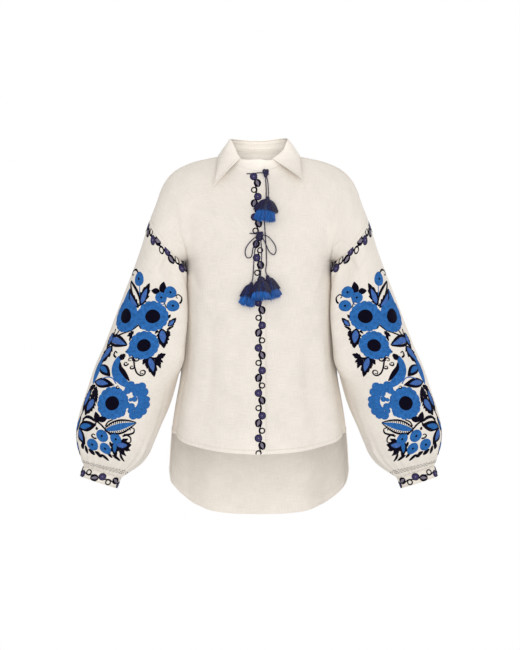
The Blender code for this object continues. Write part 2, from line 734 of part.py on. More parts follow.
def cord_points(name):
    """Points along a cord, read from the smooth curve through its route."""
    cord = CORDS[name]
    points = [before_front(*place) for place in cord["route"]]
    if cord["start"]:
        points = cord_end(cord["start"], points[0]) + points
    if cord["end"]:
        points = points + cord_end(cord["end"], points[-1])[::-1]
    points = np.array(points)
    steps = np.linalg.norm(np.diff(points, axis=0), axis=1)
    along = np.concatenate([[0], np.cumsum(steps)])
    count = max(3, round(along[-1] / CORD_STEP) + 1)
    places = np.linspace(0, along[-1], count)
    return np.stack([curve(places, along, points[:, axis]) for axis in range(3)], -1)


def build_cords(material):
    for name in CORDS:
        points = cord_points(name)
        data = bpy.data.curves.new(name, "CURVE")
        data.dimensions = "3D"
        data.bevel_depth = CORD_THICKNESS / 2 * MM
        data.bevel_resolution = 2
        data.use_fill_caps = True
        spline = data.splines.new("POLY")
        spline.points.add(len(points) - 1)
        for target, point in zip(spline.points, points * MM):
            target.co = (*point, 1)
        data.materials.append(material)
        obj = bpy.data.objects.new(name, data)
        bpy.context.scene.collection.objects.link(obj)


def skirt_point(frame, share, half_width, half_depth, angle):
    """A point round a tassel at a share of its length."""
    top, down, across = frame
    out = unit(np.cross(down, across))
    around = across * half_width * math.cos(angle) + out * half_depth * math.sin(angle)
    return top + down * share + around


def grow_strands(work, faces, frame, root, share, tip, half_width, half_depth):
    """Extrude each strand one step further, to a share of the tassel's length."""
    spread = ((share - root[0]) / (tip - root[0])) ** TASSEL_SPREAD
    width = root[1] + (half_width - root[1]) * spread
    depth = root[2] + (half_depth - root[2]) * spread
    step = math.pi / len(faces) * STRAND_WIDTH
    half_thick = STRAND_DEPTH / 2
    grown = bmesh.ops.extrude_discrete_faces(work, faces=faces)["faces"]
    for number, face in enumerate(grown):
        angle = (number + 0.5) * 2 * math.pi / len(grown)
        reach = share * (1 + UNEVEN_TIPS * math.sin(5.1 * number) * (share == tip))
        around = skirt_point(frame, reach, width, depth, angle + step)
        around -= skirt_point(frame, reach, width, depth, angle - step)
        outwards = skirt_point(frame, reach, width + 1, depth + 1, angle)
        outwards -= skirt_point(frame, reach, width, depth, angle)
        centre = np.array(face.calc_center_median())
        for vert in face.verts:
            offset = np.array(vert.co) - centre
            turn = math.copysign(step, offset @ around)
            deep = math.copysign(half_thick, offset @ outwards)
            vert.co = skirt_point(frame, reach, width + deep, depth + deep, angle + turn)
    return grown


def build_skirt(name, head, strands, tip, half_width, half_depth, material):
    """A tassel's head, and the strands that grow out of its underside and fan out."""
    frame = tassel_frame(name.removesuffix("_core"))
    angles = np.arange(strands) * 2 * math.pi / strands
    work = bmesh.new()
    rings = []
    sizes = list(zip(head["share"], head["half_width"], head["half_depth"]))
    share, width, depth = sizes[-1]
    sizes.append((share, width - STRAND_DEPTH, depth - STRAND_DEPTH))
    for size in sizes:
        rings.append([work.verts.new(skirt_point(frame, *size, angle)) for angle in angles])
    work.faces.new(rings[0])
    work.faces.new(rings[-1])
    for upper, lower in zip(rings, rings[1:]):
        corners = [(upper[i - 1], upper[i], lower[i], lower[i - 1]) for i in range(strands)]
        faces = [work.faces.new(four) for four in corners]
    bmesh.ops.recalc_face_normals(work, faces=work.faces)
    faces = faces[1:] + faces[:1]
    bmesh.ops.inset_individual(work, faces=faces, thickness=STRAND_GAP, use_even_offset=True)
    root = (share, width - STRAND_DEPTH / 2, depth - STRAND_DEPTH / 2)
    for place in ((share + tip) / 2, tip):
        faces = grow_strands(work, faces, frame, root, place, tip, half_width, half_depth)
    finish(name, work, material)


def build_tassels(navy, blue):
    for name, tassel in TASSELS.items():
        tips = STRAND_TIPS
        build_skirt(name, TASSEL_HEAD, NAVY_STRANDS, tips["navy"], tassel["navy"], SKIRT_DEPTH, navy)
        core = f"{name}_core"
        build_skirt(core, TASSEL_CORE, BLUE_STRANDS, tips["blue"], tassel["blue"], CORE_DEPTH, blue)


def build():
    for obj in list(bpy.data.objects):
        bpy.data.objects.remove(obj)
    linen = make_material("linen", CREAM, LINEN_ROUGHNESS)
    navy = make_material("navy_thread", NAVY, THREAD_ROUGHNESS)
    blue = make_material("blue_thread", BLUE, THREAD_ROUGHNESS)
    build_fronts(linen)
    build_back(linen)
    build_sleeves(linen)
    build_cuffs(linen)
    build_stand(linen)
    build_leaf(linen)
    build_knots(navy)
    build_cords(navy)
    build_tassels(navy, blue)


build()
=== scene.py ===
import functools
import json
import math

import bmesh
import bpy
import numpy as np
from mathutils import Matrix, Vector
from mathutils.bvhtree import BVHTree

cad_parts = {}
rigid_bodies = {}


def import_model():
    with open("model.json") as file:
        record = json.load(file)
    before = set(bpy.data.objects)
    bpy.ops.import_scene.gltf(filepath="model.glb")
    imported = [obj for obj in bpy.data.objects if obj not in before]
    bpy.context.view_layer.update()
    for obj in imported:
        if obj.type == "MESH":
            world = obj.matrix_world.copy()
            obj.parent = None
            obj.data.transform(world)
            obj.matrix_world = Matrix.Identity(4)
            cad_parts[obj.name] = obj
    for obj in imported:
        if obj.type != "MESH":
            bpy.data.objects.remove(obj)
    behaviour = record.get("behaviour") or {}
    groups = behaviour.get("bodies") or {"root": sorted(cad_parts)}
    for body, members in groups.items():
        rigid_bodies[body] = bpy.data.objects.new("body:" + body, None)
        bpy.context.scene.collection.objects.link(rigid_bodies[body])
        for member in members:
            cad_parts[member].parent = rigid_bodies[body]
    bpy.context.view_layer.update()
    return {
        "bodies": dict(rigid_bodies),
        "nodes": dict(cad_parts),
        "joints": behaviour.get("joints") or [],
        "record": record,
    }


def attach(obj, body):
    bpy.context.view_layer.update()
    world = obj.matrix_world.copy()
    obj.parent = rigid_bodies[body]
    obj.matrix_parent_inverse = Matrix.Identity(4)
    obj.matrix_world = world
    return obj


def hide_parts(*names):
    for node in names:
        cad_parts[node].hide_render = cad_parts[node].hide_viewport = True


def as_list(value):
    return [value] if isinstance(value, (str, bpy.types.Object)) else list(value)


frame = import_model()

# The frame is the CAD's: +Z up, the front faces -Y, the wearer's left is +X, and the origin is the
# middle of the neck. Tables are in millimetres unless they say otherwise.
MM = 0.001
CLOTH = 1.4
CUFF_CLOTH = 2.0
SEAM_GAP = 0.3

CREAM = (0.845, 0.785, 0.71)
NAVY = (0.003, 0.002, 0.009)
YARN_NAVY = (0.011, 0.008, 0.052)
YARN_BLUE = (0.012, 0.13, 0.47)
BLUE = (0.026, 0.135, 0.40)


def table(columns, *rows):
    """One array for each named column."""
    return dict(zip(columns.split(), np.array(rows, float).T))


# The body below the armpit, as the half rings that the front and the back follow at each level.
ARMPIT_DROP = 225.0
BODY = table(
    "drop half_width front_depth back_depth",
    (225, 157.0, 112, 104),
    (327, 158.5, 119, 107),
    (404, 162.5, 122, 112),
    (473, 169.0, 125, 118),
    (535, 180.0, 128, 124),
    (596, 188.5, 130, 129),
    (664, 193.0, 131, 132),
    (776, 194.0, 131, 135),
)
BODY_ROUND = 0.87  # under 1, the rings are fuller than an ellipse

# How far down each hem reaches, from the centre line (turn 0) to the side seam (turn 1).
FRONT_HEM = table(
    "turn drop",
    (0, 635), (0.2, 631), (0.36, 625), (0.5, 617), (0.65, 606), (0.8, 596), (1, 588),
)
BACK_HEM = table(
    "turn drop",
    (0, 776), (0.2, 773), (0.32, 767), (0.42, 757), (0.55, 744), (0.66, 727), (0.76, 708),
    (0.88, 690), (1, 668),
)

# The neck seam, by angle: 0 at the front, 90 at the shoulder, 180 at the back.
NECK_HALF = 70.0
NECK_FRONT = 64.0
NECK_BACK = 58.0
NECK_SEAM = table("angle z", (0, -34), (30, -26), (60, -10), (90, 4), (120, 9), (180, 9))
NECK_SHARE = 0.3  # of a half panel's width
CORNER_SOFTNESS = 0.16  # the turn over which the corner of neck and shoulder is rounded below it
CORNER_SHARPNESS = 6  # how close to the seams the true corner comes back

# Above the armpit the cloth slopes straight to the neck at the centre, and rounds the shoulder.
STRAIGHT_AT_CENTRE = 0.5
STRAIGHT_AT_SHOULDER = 0.14
STRAIGHT_FADE = 0.4  # the turn by which it has changed from one to the other
UNDERARM_LEAN = 1.25  # how far the body's wall leans off the sleeve at the armpit

# The shoulder seam from the neck out to the dropped armhole.
SHOULDER = table(
    "along x z",
    (0, 70.0, 4), (36, 105, -2.5), (84, 152, -15), (113, 178, -28), (138, 196, -45),
    (168, 211, -71), (195, 219.5, -97), (239, 234.4, -137.6),
)

# The sleeve from the armhole to the cuff. A section is a ring between two points of the front view.
SLEEVE = table(
    "outer_x outer_drop inner_x inner_drop depth middle_y bulge gather",
    (234.4, 137.6, 157.0, 225, 75, 0, 12, 0),
    (243, 163, 160.8, 244, 76, -1, 11, 0),
    (254, 198, 160.8, 276, 77, -3, 9, 0),
    (270, 243, 160.8, 313, 77, -6, 6, 0),
    (289, 292, 161.8, 352, 78, -9, 3, 0),
    (308, 342, 164.5, 392, 79, -12, 0, 0),
    (330, 400, 169.5, 440, 81, -15, 0, 0),
    (352, 450, 178, 482, 83, -18, 0, 0),
    (370, 505, 191, 527, 85, -21, 0, 0),
    (385, 552, 207, 569, 84, -24, 0, 0.1),
    (391, 590, 223, 608, 79, -26, 0, 0.5),
    (388, 618, 240, 640, 69, -27, 0, 1.0),
    (381, 642, 262, 665, 53, -28, 0, 1.6),
    (374, 661.5, 295, 687.5, 31, -28, 0, 1.6),
)
SEAM_SECTION = 0
GATHERS = 24

CUFF = table(
    "outer_x outer_drop inner_x inner_drop depth middle_y bulge",
    (374, 661.5, 295, 687.5, 31, -28, 0),
    (379, 672.7, 300, 698.7, 31, -28.5, 0),
    (383.2, 684, 304.5, 710, 30, -29, 0),
)
CUFF_OUT = 0.8  # the cuff covers the ends of the gathers

# The collar stand's upper edge, by the same angles as the neck seam.
STAND_HALF = 62.0
STAND_FRONT = 57.0
STAND_BACK = 51.0
STAND_EDGE = table(
    "angle right left",
    (0, -8, -8), (28, -8, -8), (40, -6, -1), (60, 20, 14), (76, 34, 30), (95, 36, 36), (180, 35, 35),
)
STAND_END = 10.8  # its right end reaches past the centre, and its left end is tucked under it

# The leaf of the collar starts at each front at an angle on the neck. Its rows roll over the stand,
# and fall to an outer edge. A share runs from the collar point to the middle of the back.
LEAF_START_RIGHT = 39.0
LEAF_START_LEFT = 28.0
LEAF_POINT_RIGHT = (98, -88, -68)
LEAF_POINT_LEFT = (96, -84, -53)
LEAF_EDGE = table(
    "share x y z",
    (0.29, 92, -60, -35), (0.4, 89, -34, -12), (0.5, 87.5, -2, 3), (0.62, 79, 34, 3),
    (0.75, 61, 60, 0), (0.88, 33, 73, -3), (1, 0, 77, -5),
)
LEAF_ROLL = table("outward lift", (0, 3.0), (2.6, 2.2))  # from the stand's upper edge
LEAF_LIFT = 1.4
LEAF_BOW = 2.0  # how far the leaf bulges between its roll and its edge

# The right front laps over the left one, and its edge runs straight down.
LAP_EDGE = 15.7
LAP_DEPTH = 2.2
LAP_FADE = 40.0

# Soft folds, as ridges (above 0) and troughs of the body's wall. A level runs from the hem, 0, past
# the armpit, 1, to the shoulder, 2, and side is 1 on the wearer's left.
FOLDS = table(
    "front side low_level high_level low_turn high_turn width height",
    (1, 1, 0.00, 1.25, 0.62, 0.55, 0.10, 5.0),
    (1, 1, 0.00, 1.05, 0.42, 0.44, 0.09, -3.5),
    (1, 1, 0.00, 1.10, 0.84, 0.80, 0.07, -4.0),
    (1, -1, 0.00, 1.25, 0.58, 0.52, 0.10, 5.0),
    (1, -1, 0.00, 1.10, 0.38, 0.42, 0.08, -3.0),
    (1, -1, 0.00, 1.00, 0.81, 0.78, 0.07, -4.5),
    (1, 1, 0.86, 1.62, 0.93, 0.80, 0.07, -9.0),
    (1, -1, 0.86, 1.60, 0.93, 0.81, 0.07, -9.0),
    (0, 1, 0.00, 1.30, 0.30, 0.34, 0.10, 6.0),
    (0, 1, 0.00, 1.10, 0.55, 0.50, 0.09, -4.5),
    (0, 1, 0.00, 1.20, 0.76, 0.70, 0.08, 4.0),
    (0, -1, 0.00, 1.35, 0.33, 0.30, 0.10, 6.0),
    (0, -1, 0.00, 1.10, 0.58, 0.52, 0.09, -4.5),
    (0, -1, 0.00, 1.15, 0.79, 0.73, 0.08, 4.0),
    (0, 1, 0.90, 1.60, 0.93, 0.82, 0.07, -8.0),
    (0, -1, 0.90, 1.60, 0.93, 0.82, 0.07, -8.0),
)
FOLD_FADE = 0.9  # the turn from which folds die away towards the side seam

# The knots of the ties. A lift is from the front's cloth to the middle of the piece.
KNOTS = {
    "tie_upper_knot": dict(x=14.2, drop=37.0, lift=6.9, width=13.0, height=19.0, depth=10.0),
    "tie_lower_knot": dict(x=1.8, drop=168.8, lift=6.8, width=13.5, height=13.5, depth=11.0),
}

# The tassels hang from their cords. Each has a navy skirt over a longer blue one, with the half widths
# of both, and the share of its length at which the navy one ends.
TASSELS = {
    "tassel_upper": dict(
        top=(19.4, 88.2, 7.8), tip=(11.8, 141.5, 18.5), navy=28.5, blue=25.5, navy_end=0.64,
    ),
    "tassel_left": dict(
        top=(-15.0, 270.0, 5.4), tip=(-27.0, 321.0, 15.5), navy=19.5, blue=18.5, navy_end=0.73,
    ),
    "tassel_middle": dict(
        top=(3.9, 261.0, 12.5), tip=(4.5, 308.5, 30.0), navy=23.5, blue=21.5, navy_end=0.73,
    ),
    "tassel_right": dict(
        top=(17.0, 255.5, 5.4), tip=(34.5, 305.0, 15.5), navy=18.5, blue=17.0, navy_end=0.73,
    ),
}
TASSEL_HEAD = table("share half_width half_depth", (0, 1.7, 1.7), (0.05, 3.4, 3.1), (0.16, 4.8, 4.4))
TASSEL_CORE = table("share half_width half_depth", (0.166, 2.6, 2.2), (0.2, 3.4, 2.9))
NAVY_DEPTH = 8.36  # half the depth of a skirt
BLUE_DEPTH = 7.5

CORD_THICKNESS = 2.4
CORD_STEP = 3.3 * CORD_THICKNESS
CORD_GAP = 0.4  # between a cord's end and its knot

# The cords' routes over the front, as x, drop and lift. A route starts or ends at the named piece.
CORDS = {
    "tie_upper_band": dict(
        start=None, end="tie_upper_knot", route=((-26, 39, 1.7), (-12, 38.6, 2.6), (-2, 37.4, 4.8)),
    ),
    "tie_upper_short": dict(
        start="tie_upper_knot", end="tassel_upper", route=((18.6, 56, 6.6), (19.8, 72, 7.0)),
    ),
    "tie_upper_long": dict(
        start="tie_upper_knot", end="tassel_right",
        route=(
            (14.4, 56, 3.2), (15.4, 72, 2.2), (14.8, 95, 1.7), (12.6, 120, 1.7), (11.6, 142, 1.7),
            (13, 165, 1.7), (14.6, 188, 1.7), (15.6, 212, 1.8), (16, 232, 3.0),
        ),
    ),
    "tie_lower_band": dict(
        start=None, end="tie_lower_knot", route=((-19.5, 167, 1.7), (-13.5, 167.5, 3.4)),
    ),
    "tie_lower_loop_left": dict(
        start="tie_lower_knot", end="tie_lower_knot",
        route=(
            (-10.5, 178, 6.0), (-20, 187, 4.2), (-28, 200, 3.0), (-29, 211, 2.6), (-23.5, 219.5, 2.4),
            (-16.5, 217.5, 2.4), (-14, 205, 2.8), (-9.5, 190, 5.4), (-4.4, 179.5, 10.0),
        ),
    ),
    "tie_lower_loop_right": dict(
        start="tie_lower_knot", end="tie_lower_knot",
        route=(
            (16.5, 172.5, 7.4), (26, 181, 5.8), (34, 193, 3.8), (36, 205, 2.6), (31, 212.5, 2.4),
            (23, 207.5, 3.6), (17, 196, 5.4), (11.5, 183.5, 6.8),
        ),
    ),
    "tie_lower_end_left": dict(
        start="tie_lower_knot", end="tassel_left",
        route=((-2.2, 181, 3.6), (-5.6, 191, 2.2), (-8, 200, 1.8), (-10.4, 222, 1.8), (-12, 248, 2.8)),
    ),
    "tie_lower_end_right": dict(
        start="tie_lower_knot", end="tassel_middle",
        route=((4.2, 186, 5.4), (5.6, 204, 2.8), (5.4, 226, 4.4), (4.2, 244, 9.2)),
    ),
}


def smooth(share):
    """From 0 to 1, level at both ends."""
    share = np.clip(share, 0, 1)
    return share * share * (3 - 2 * share)


def curve(x, xs, ys):
    """The smooth curve through the points of two columns."""
    slopes = np.gradient(ys, xs)
    left = np.clip(np.searchsorted(xs, x, side="right") - 1, 0, len(xs) - 2)
    span = xs[left + 1] - xs[left]
    t = (x - xs[left]) / span
    return (
        (1 + 2 * t) * (1 - t) ** 2 * ys[left]
        + t * (1 - t) ** 2 * span * slopes[left]
        + t * t * (3 - 2 * t) * ys[left + 1]
        + t * t * (t - 1) * span * slopes[left + 1]
    )


def unit(vectors):
    return vectors / np.maximum(np.linalg.norm(vectors, axis=-1, keepdims=True), 1e-9)


def facing(vectors, directions):
    """The vectors made unit, and turned to the side of the given directions."""
    vectors = unit(vectors)
    along = np.sum(vectors * directions, axis=-1, keepdims=True)
    return np.where(along < 0, -vectors, vectors)


def walked(points):
    """How far each point is along its line. A grid's lines are its rows."""
    steps = np.linalg.norm(np.diff(points, axis=-2), axis=-1)
    return np.concatenate([np.zeros((*steps.shape[:-1], 1)), np.cumsum(steps, axis=-1)], axis=-1)


def resample(points, step):
    """Points at even steps along the smooth curve through the given ones."""
    points = np.asarray(points, float)
    along = walked(points)
    places = np.linspace(0, along[-1], max(3, round(along[-1] / step) + 1))
    return np.stack([curve(places, along, column) for column in points.T], -1)


def circle(angle):
    return np.stack([np.cos(angle), np.sin(angle)], -1)


def sideways(run):
    """The direction across a flat vector."""
    return np.array([-run[1], run[0]]) / np.hypot(*run)


def mirror(side):
    """What turns points of the wearer's left, side 1, into those of the given side."""
    return np.array([side, 1, 1])


def neck(angle, raised=0.0):
    """A point of the neck seam, or of the stand's upper edge where raised is 1.

    The angle is above 0 on the wearer's left, and may pass 180 or -180.
    """
    angle = np.asarray(angle, float)
    turn = np.radians(angle)
    from_front = np.abs(np.mod(angle + 180, 360) - 180)
    half = NECK_HALF + (STAND_HALF - NECK_HALF) * raised
    front = NECK_FRONT + (STAND_FRONT - NECK_FRONT) * raised
    back = NECK_BACK + (STAND_BACK - NECK_BACK) * raised
    right, left = (curve(from_front, STAND_EDGE["angle"], STAND_EDGE[side]) for side in ("right", "left"))
    edge = np.where(np.sin(turn) < 0, right, left)
    low = curve(from_front, NECK_SEAM["angle"], NECK_SEAM["z"])
    y = -np.cos(turn) * np.where(np.cos(turn) > 0, front, back)
    return np.stack([half * np.sin(turn), y, low + (edge - low) * raised], -1)


def ring_point(section, theta, out=0.0):
    """A point of a sleeve or cuff section. Theta is 0 at its outer side and 180 at its inner side."""
    outer = np.stack([section["outer_x"], np.zeros_like(theta), -section["outer_drop"]], -1)
    inner = np.stack([section["inner_x"], np.zeros_like(theta), -section["inner_drop"]], -1)
    half = (outer - inner) / 2
    length = np.linalg.norm(half, axis=-1)
    angle = np.radians(theta)
    across = half * ((length + out) / length * np.cos(angle))[..., None]
    point = (outer + inner) / 2 + across
    point[..., 1] += section["middle_y"] - (section["depth"] + out) * np.sin(angle)
    # The ring bows towards the wrist at its front and its back.
    bow = section["bulge"] * np.abs(np.sin(angle)) / length
    point[..., 0] += half[..., 2] * bow
    point[..., 2] -= half[..., 0] * bow
    return point


def section_at(sections, place, theta):
    """The section at a place between the rows of a table, one for each theta."""
    steps = np.arange(len(sections["outer_x"]), dtype=float)
    place = np.broadcast_to(np.asarray(place, float), theta.shape)
    return {name: curve(place, steps, column) for name, column in sections.items()}


def sleeve_point(place, theta):
    """A point of the left sleeve, whose place runs from the armhole, 0, to the cuff."""
    theta = np.asarray(theta, float)
    section = section_at(SLEEVE, place, theta)
    wave = section["gather"] * np.cos(np.radians(GATHERS * theta))
    return ring_point(section, theta, wave)


def armhole(front, theta):
    """A point of the armhole seam on the front or the back half of its ring."""
    return sleeve_point(SEAM_SECTION, theta if front else -theta)


def body_ring(front, turn, drop):
    """A point of the body below the armpit, from the centre line (turn 0) to the side seam."""
    half = curve(drop, BODY["drop"], BODY["half_width"])
    depth = curve(drop, BODY["drop"], BODY["front_depth" if front else "back_depth"])
    angle = turn * math.pi / 2
    x = half * np.sin(angle) ** BODY_ROUND
    y = depth * np.maximum(np.cos(angle), 0) ** BODY_ROUND
    return np.stack([x, -y if front else y, -drop], -1)


def top_edge(front, turn):
    """A point of a panel's upper edge: the neck seam, then the shoulder seam."""
    neck_angle = 90 * np.minimum(turn / NECK_SHARE, 1)
    on_neck = neck(neck_angle if front else 180 - neck_angle)
    along = SHOULDER["along"][-1] * np.clip((turn - NECK_SHARE) / (1 - NECK_SHARE), 0, 1)
    on_shoulder = np.stack(
        [
            curve(along, SHOULDER["along"], SHOULDER["x"]),
            np.zeros_like(turn),
            curve(along, SHOULDER["along"], SHOULDER["z"]),
        ],
        -1,
    )
    return np.where((turn < NECK_SHARE)[..., None], on_neck, on_shoulder)


def soft_top_edge(front, turn):
    """The upper edge with its corner at the neck rounded, for the cloth below it."""
    end = top_edge(front, np.ones_like(turn))
    total = np.zeros((*turn.shape, 3))
    offsets = np.linspace(-CORNER_SOFTNESS, CORNER_SOFTNESS, 9)
    for offset in offsets:
        at = turn + offset
        point = top_edge(front, np.clip(np.abs(at), 0, 1))
        point[..., 0] *= np.where(at < 0, -1, 1)
        past_end = 2 * end - top_edge(front, np.clip(2 - at, 0, 1))
        total += np.where((at > 1)[..., None], past_end, point)
    return total / len(offsets)


def upper_body(front, turn, rise):
    """A point above the armpit. Rise is 0 at the armpit's level and 1 at the neck and shoulder."""
    ease = rise * math.pi / 2
    fade = smooth(turn / STRAIGHT_FADE)
    straight = STRAIGHT_AT_CENTRE + (STRAIGHT_AT_SHOULDER - STRAIGHT_AT_CENTRE) * fade
    inward = straight * rise + (1 - straight) * (1 - np.cos(ease))
    upward = straight * rise + (1 - straight) * np.sin(ease)
    weights = np.stack([rise, inward, upward], -1)
    armpit = np.full_like(turn, ARMPIT_DROP)
    low = body_ring(front, turn, armpit)
    low_side = body_ring(front, np.ones_like(turn), armpit)
    high = top_edge(front, turn)
    high_side = top_edge(front, np.ones_like(turn))
    soft = soft_top_edge(front, turn)
    corner = (rise**CORNER_SHARPNESS)[..., None] * (high - soft)
    middle = low + (soft - low) * weights + corner
    side = low_side + (high_side - low_side) * weights
    edge = armhole(front, 180 * (1 - rise))
    return middle + (turn**3)[..., None] * (edge - side)


def fold_height(front, side, turn, level):
    """How far the folds move a point of the body outwards."""
    height = np.zeros_like(turn)
    for row in range(len(FOLDS["side"])):
        fold = {name: column[row] for name, column in FOLDS.items()}
        if bool(fold["front"]) != front or fold["side"] != side:
            continue
        share = np.clip((level - fold["low_level"]) / (fold["high_level"] - fold["low_level"]), 0, 1)
        middle = fold["low_turn"] + (fold["high_turn"] - fold["low_turn"]) * share
        starts_at_hem = fold["low_level"] == 0
        fade = (1 - smooth(share)) if starts_at_hem else np.sin(np.pi * share) ** 2
        height += fold["height"] * fade * np.exp(-(((turn - middle) / fold["width"]) ** 2))
    return height * (1 - smooth((turn - FOLD_FADE) / (1 - FOLD_FADE)))


def body_point(front, side, turn, level):
    """A point of the body's outer face. Level is 0 at the hem, 1 at the armpit and 2 at the top."""
    turn, level = np.broadcast_arrays(np.asarray(turn, float), np.asarray(level, float))
    past_centre = np.where(turn < 0, -1.0, 1.0)
    turn = np.abs(turn)
    hem = FRONT_HEM if front else BACK_HEM
    hem_drop = curve(turn, hem["turn"], hem["drop"])
    below = body_ring(front, turn, hem_drop + (ARMPIT_DROP - hem_drop) * np.clip(level, 0, 1))
    above = upper_body(front, turn, np.clip(level - 1, 0, 1))
    point = np.where((level <= 1)[..., None], below, above)
    height = fold_height(front, side, turn, level)
    reach = np.maximum(np.hypot(point[..., 0], point[..., 1]), 1)
    point[..., :2] *= (1 + height / reach)[..., None]
    point[..., 0] *= side * past_centre
    return point


def turn_at(side, x, level):
    """The turn at which a level of the front is x from the centre line."""
    turn = np.full(np.shape(level), 0.07)
    for _ in range(8):
        now = np.abs(body_point(True, side, turn, level)[..., 0])
        turn = turn * (x / now) ** (1 / BODY_ROUND)
    return turn


@functools.cache
def front_samples():
    """Points all over the middle of the front, close together."""
    turns = np.linspace(0, 0.5, 61)
    levels = np.linspace(0.3, 2, 201)[:, None]
    halves = [body_point(True, side, turns, levels).reshape(-1, 3) for side in (-1, 1)]
    return np.concatenate(halves)


def front_y(x, drop):
    """The depth of the front's outer face at a point of the front view, from the nearest samples."""
    samples = front_samples()
    offsets = samples[:, [0, 2]] - (x, -drop)
    near = np.argsort(np.hypot(*offsets.T))[:8]
    columns = np.column_stack([offsets[near], np.ones(len(near))])
    return np.linalg.lstsq(columns, samples[near, 1], rcond=None)[0][2]


def before_front(x, drop, lift):
    """The point of the front view that lies off the front's cloth by the lift."""
    return np.array([x, front_y(x, drop) - lift, -drop])


def inward_of(points, towards):
    """Unit normals of a grid of points, on the side that faces the given point."""
    rows = np.gradient(points, axis=0)
    columns = np.gradient(points, axis=1)
    return facing(np.cross(rows, columns), towards - points)


def knot_frame(name):
    """The middle of a knot and its half sizes."""
    knot = KNOTS[name]
    middle = before_front(knot["x"], knot["drop"], knot["lift"])
    return middle, np.array([knot["width"], knot["depth"], knot["height"]]) / 2


def tassel_frame(name):
    """The top of a tassel, the vector down its length and its direction across."""
    top = before_front(*TASSELS[name]["top"])
    down = before_front(*TASSELS[name]["tip"]) - top
    across = unit(np.cross(np.array([0, -1, 0]), down))
    return top, down, across


def cord_end(name, neighbour):
    """The end points of a cord at a knot or a tassel, the outermost first."""
    if name in KNOTS:
        middle, half = knot_frame(name)
        away = unit(neighbour - middle)
        radius = 1 / np.linalg.norm(away / half)
        return [middle + away * (radius + CORD_GAP)]
    top, down, _ = tassel_frame(name)
    up = -unit(down)
    return [top + up * SEAM_GAP, top + up * CORD_STEP]


def cord_points(name):
    """Points along a cord, read from the smooth curve through its route."""
    cord = CORDS[name]
    points = [before_front(*place) for place in cord["route"]]
    if cord["start"]:
        points = cord_end(cord["start"], points[0]) + points
    if cord["end"]:
        points = points + cord_end(cord["end"], points[-1])[::-1]
    return resample(points, CORD_STEP)


def seam_normal():
    """The direction across the armhole seam, towards the wrist."""
    drop = SLEEVE["inner_drop"][0] - SLEEVE["outer_drop"][0]
    width = SLEEVE["outer_x"][0] - SLEEVE["inner_x"][0]
    return unit(np.array([drop, 0, -width]))


def armhole_inward(theta, ring):
    """Where the wall points at the armhole: to the ring's middle, and off the sleeve at the armpit."""
    side_on = np.array([90.0])
    middle = ring_point(section_at(SLEEVE, SEAM_SECTION, side_on), side_on)[0]
    middle[1] = 0
    inward = unit(middle - ring)
    underarm = np.maximum(-np.cos(np.radians(theta)), 0) ** 4
    inward[:, 0] -= UNDERARM_LEAN * underarm
    return unit(inward)


class Mesh:
    """Gathers grids of points, in millimetres, into one object."""

    def __init__(self):
        self.points = []
        self.faces = []
        self.places = []
        self.slots = []
        self.count = 0

    def quads(self, points, faces, places, slot=0):
        """Add quads. Places are the corners' real places on the material, in millimetres."""
        faces = np.asarray(faces)
        self.points.append(np.asarray(points, float).reshape(-1, 3))
        self.faces.append(faces + self.count)
        self.places.append(np.asarray(places, float))
        self.slots.append(np.full(len(faces), slot))
        self.count += len(self.points[-1])

    def grid(self, points, places, slot=0, closed=False, flip=False):
        """Add a grid. Where it is closed, places have one column more than the points."""
        faces, corners = grid_faces(*points.shape[:2], closed)
        if flip:
            faces, corners = faces[:, ::-1], corners[:, ::-1]
        self.quads(points, faces, places.reshape(-1, 2)[corners], slot)

    def build(self, name, materials, sharp=50):
        points = np.concatenate(self.points) * MM
        faces = np.concatenate(self.faces)
        places = np.concatenate(self.places).reshape(-1, 2) * MM
        mesh = bpy.data.meshes.new(name)
        mesh.vertices.add(len(points))
        mesh.vertices.foreach_set("co", points.ravel())
        mesh.loops.add(faces.size)
        mesh.loops.foreach_set("vertex_index", faces.ravel().astype(np.int32))
        mesh.polygons.add(len(faces))
        mesh.polygons.foreach_set("loop_start", np.arange(0, faces.size, 4, dtype=np.int32))
        mesh.polygons.foreach_set("material_index", np.concatenate(self.slots).astype(np.int32))
        mesh.update(calc_edges=True)
        mesh.validate()
        mesh.uv_layers.new(name="places").data.foreach_set("uv", places.ravel())
        mesh.shade_smooth()
        mesh.set_sharp_from_angle(angle=math.radians(sharp))
        for material in materials:
            mesh.materials.append(material)
        piece = bpy.data.objects.new(name, mesh)
        bpy.context.scene.collection.objects.link(piece)
        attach(piece, "root")
        return piece


def grid_faces(rows, columns, closed):
    """The corners of a grid's faces, as numbers of its points and of its places."""
    numbers = np.arange(rows * columns).reshape(rows, columns)
    if closed:
        numbers = np.hstack([numbers, numbers[:, :1]])
    places = np.arange(numbers.size).reshape(numbers.shape)

    def corners(grid):
        return np.stack([grid[:-1, :-1], grid[:-1, 1:], grid[1:, 1:], grid[1:, :-1]], -1).reshape(-1, 4)

    return corners(numbers), corners(places)


def real_places(points, closed, seam=0):
    """How far each point of a grid is along its row from the seam's column, and down its column."""
    wide = np.concatenate([points, points[:, :1]], axis=1) if closed else points
    across = walked(wide)
    across -= across[:, seam : seam + 1]
    down = walked(wide[:, seam])
    return np.stack([across, np.broadcast_to(down[:, None], across.shape)], -1)


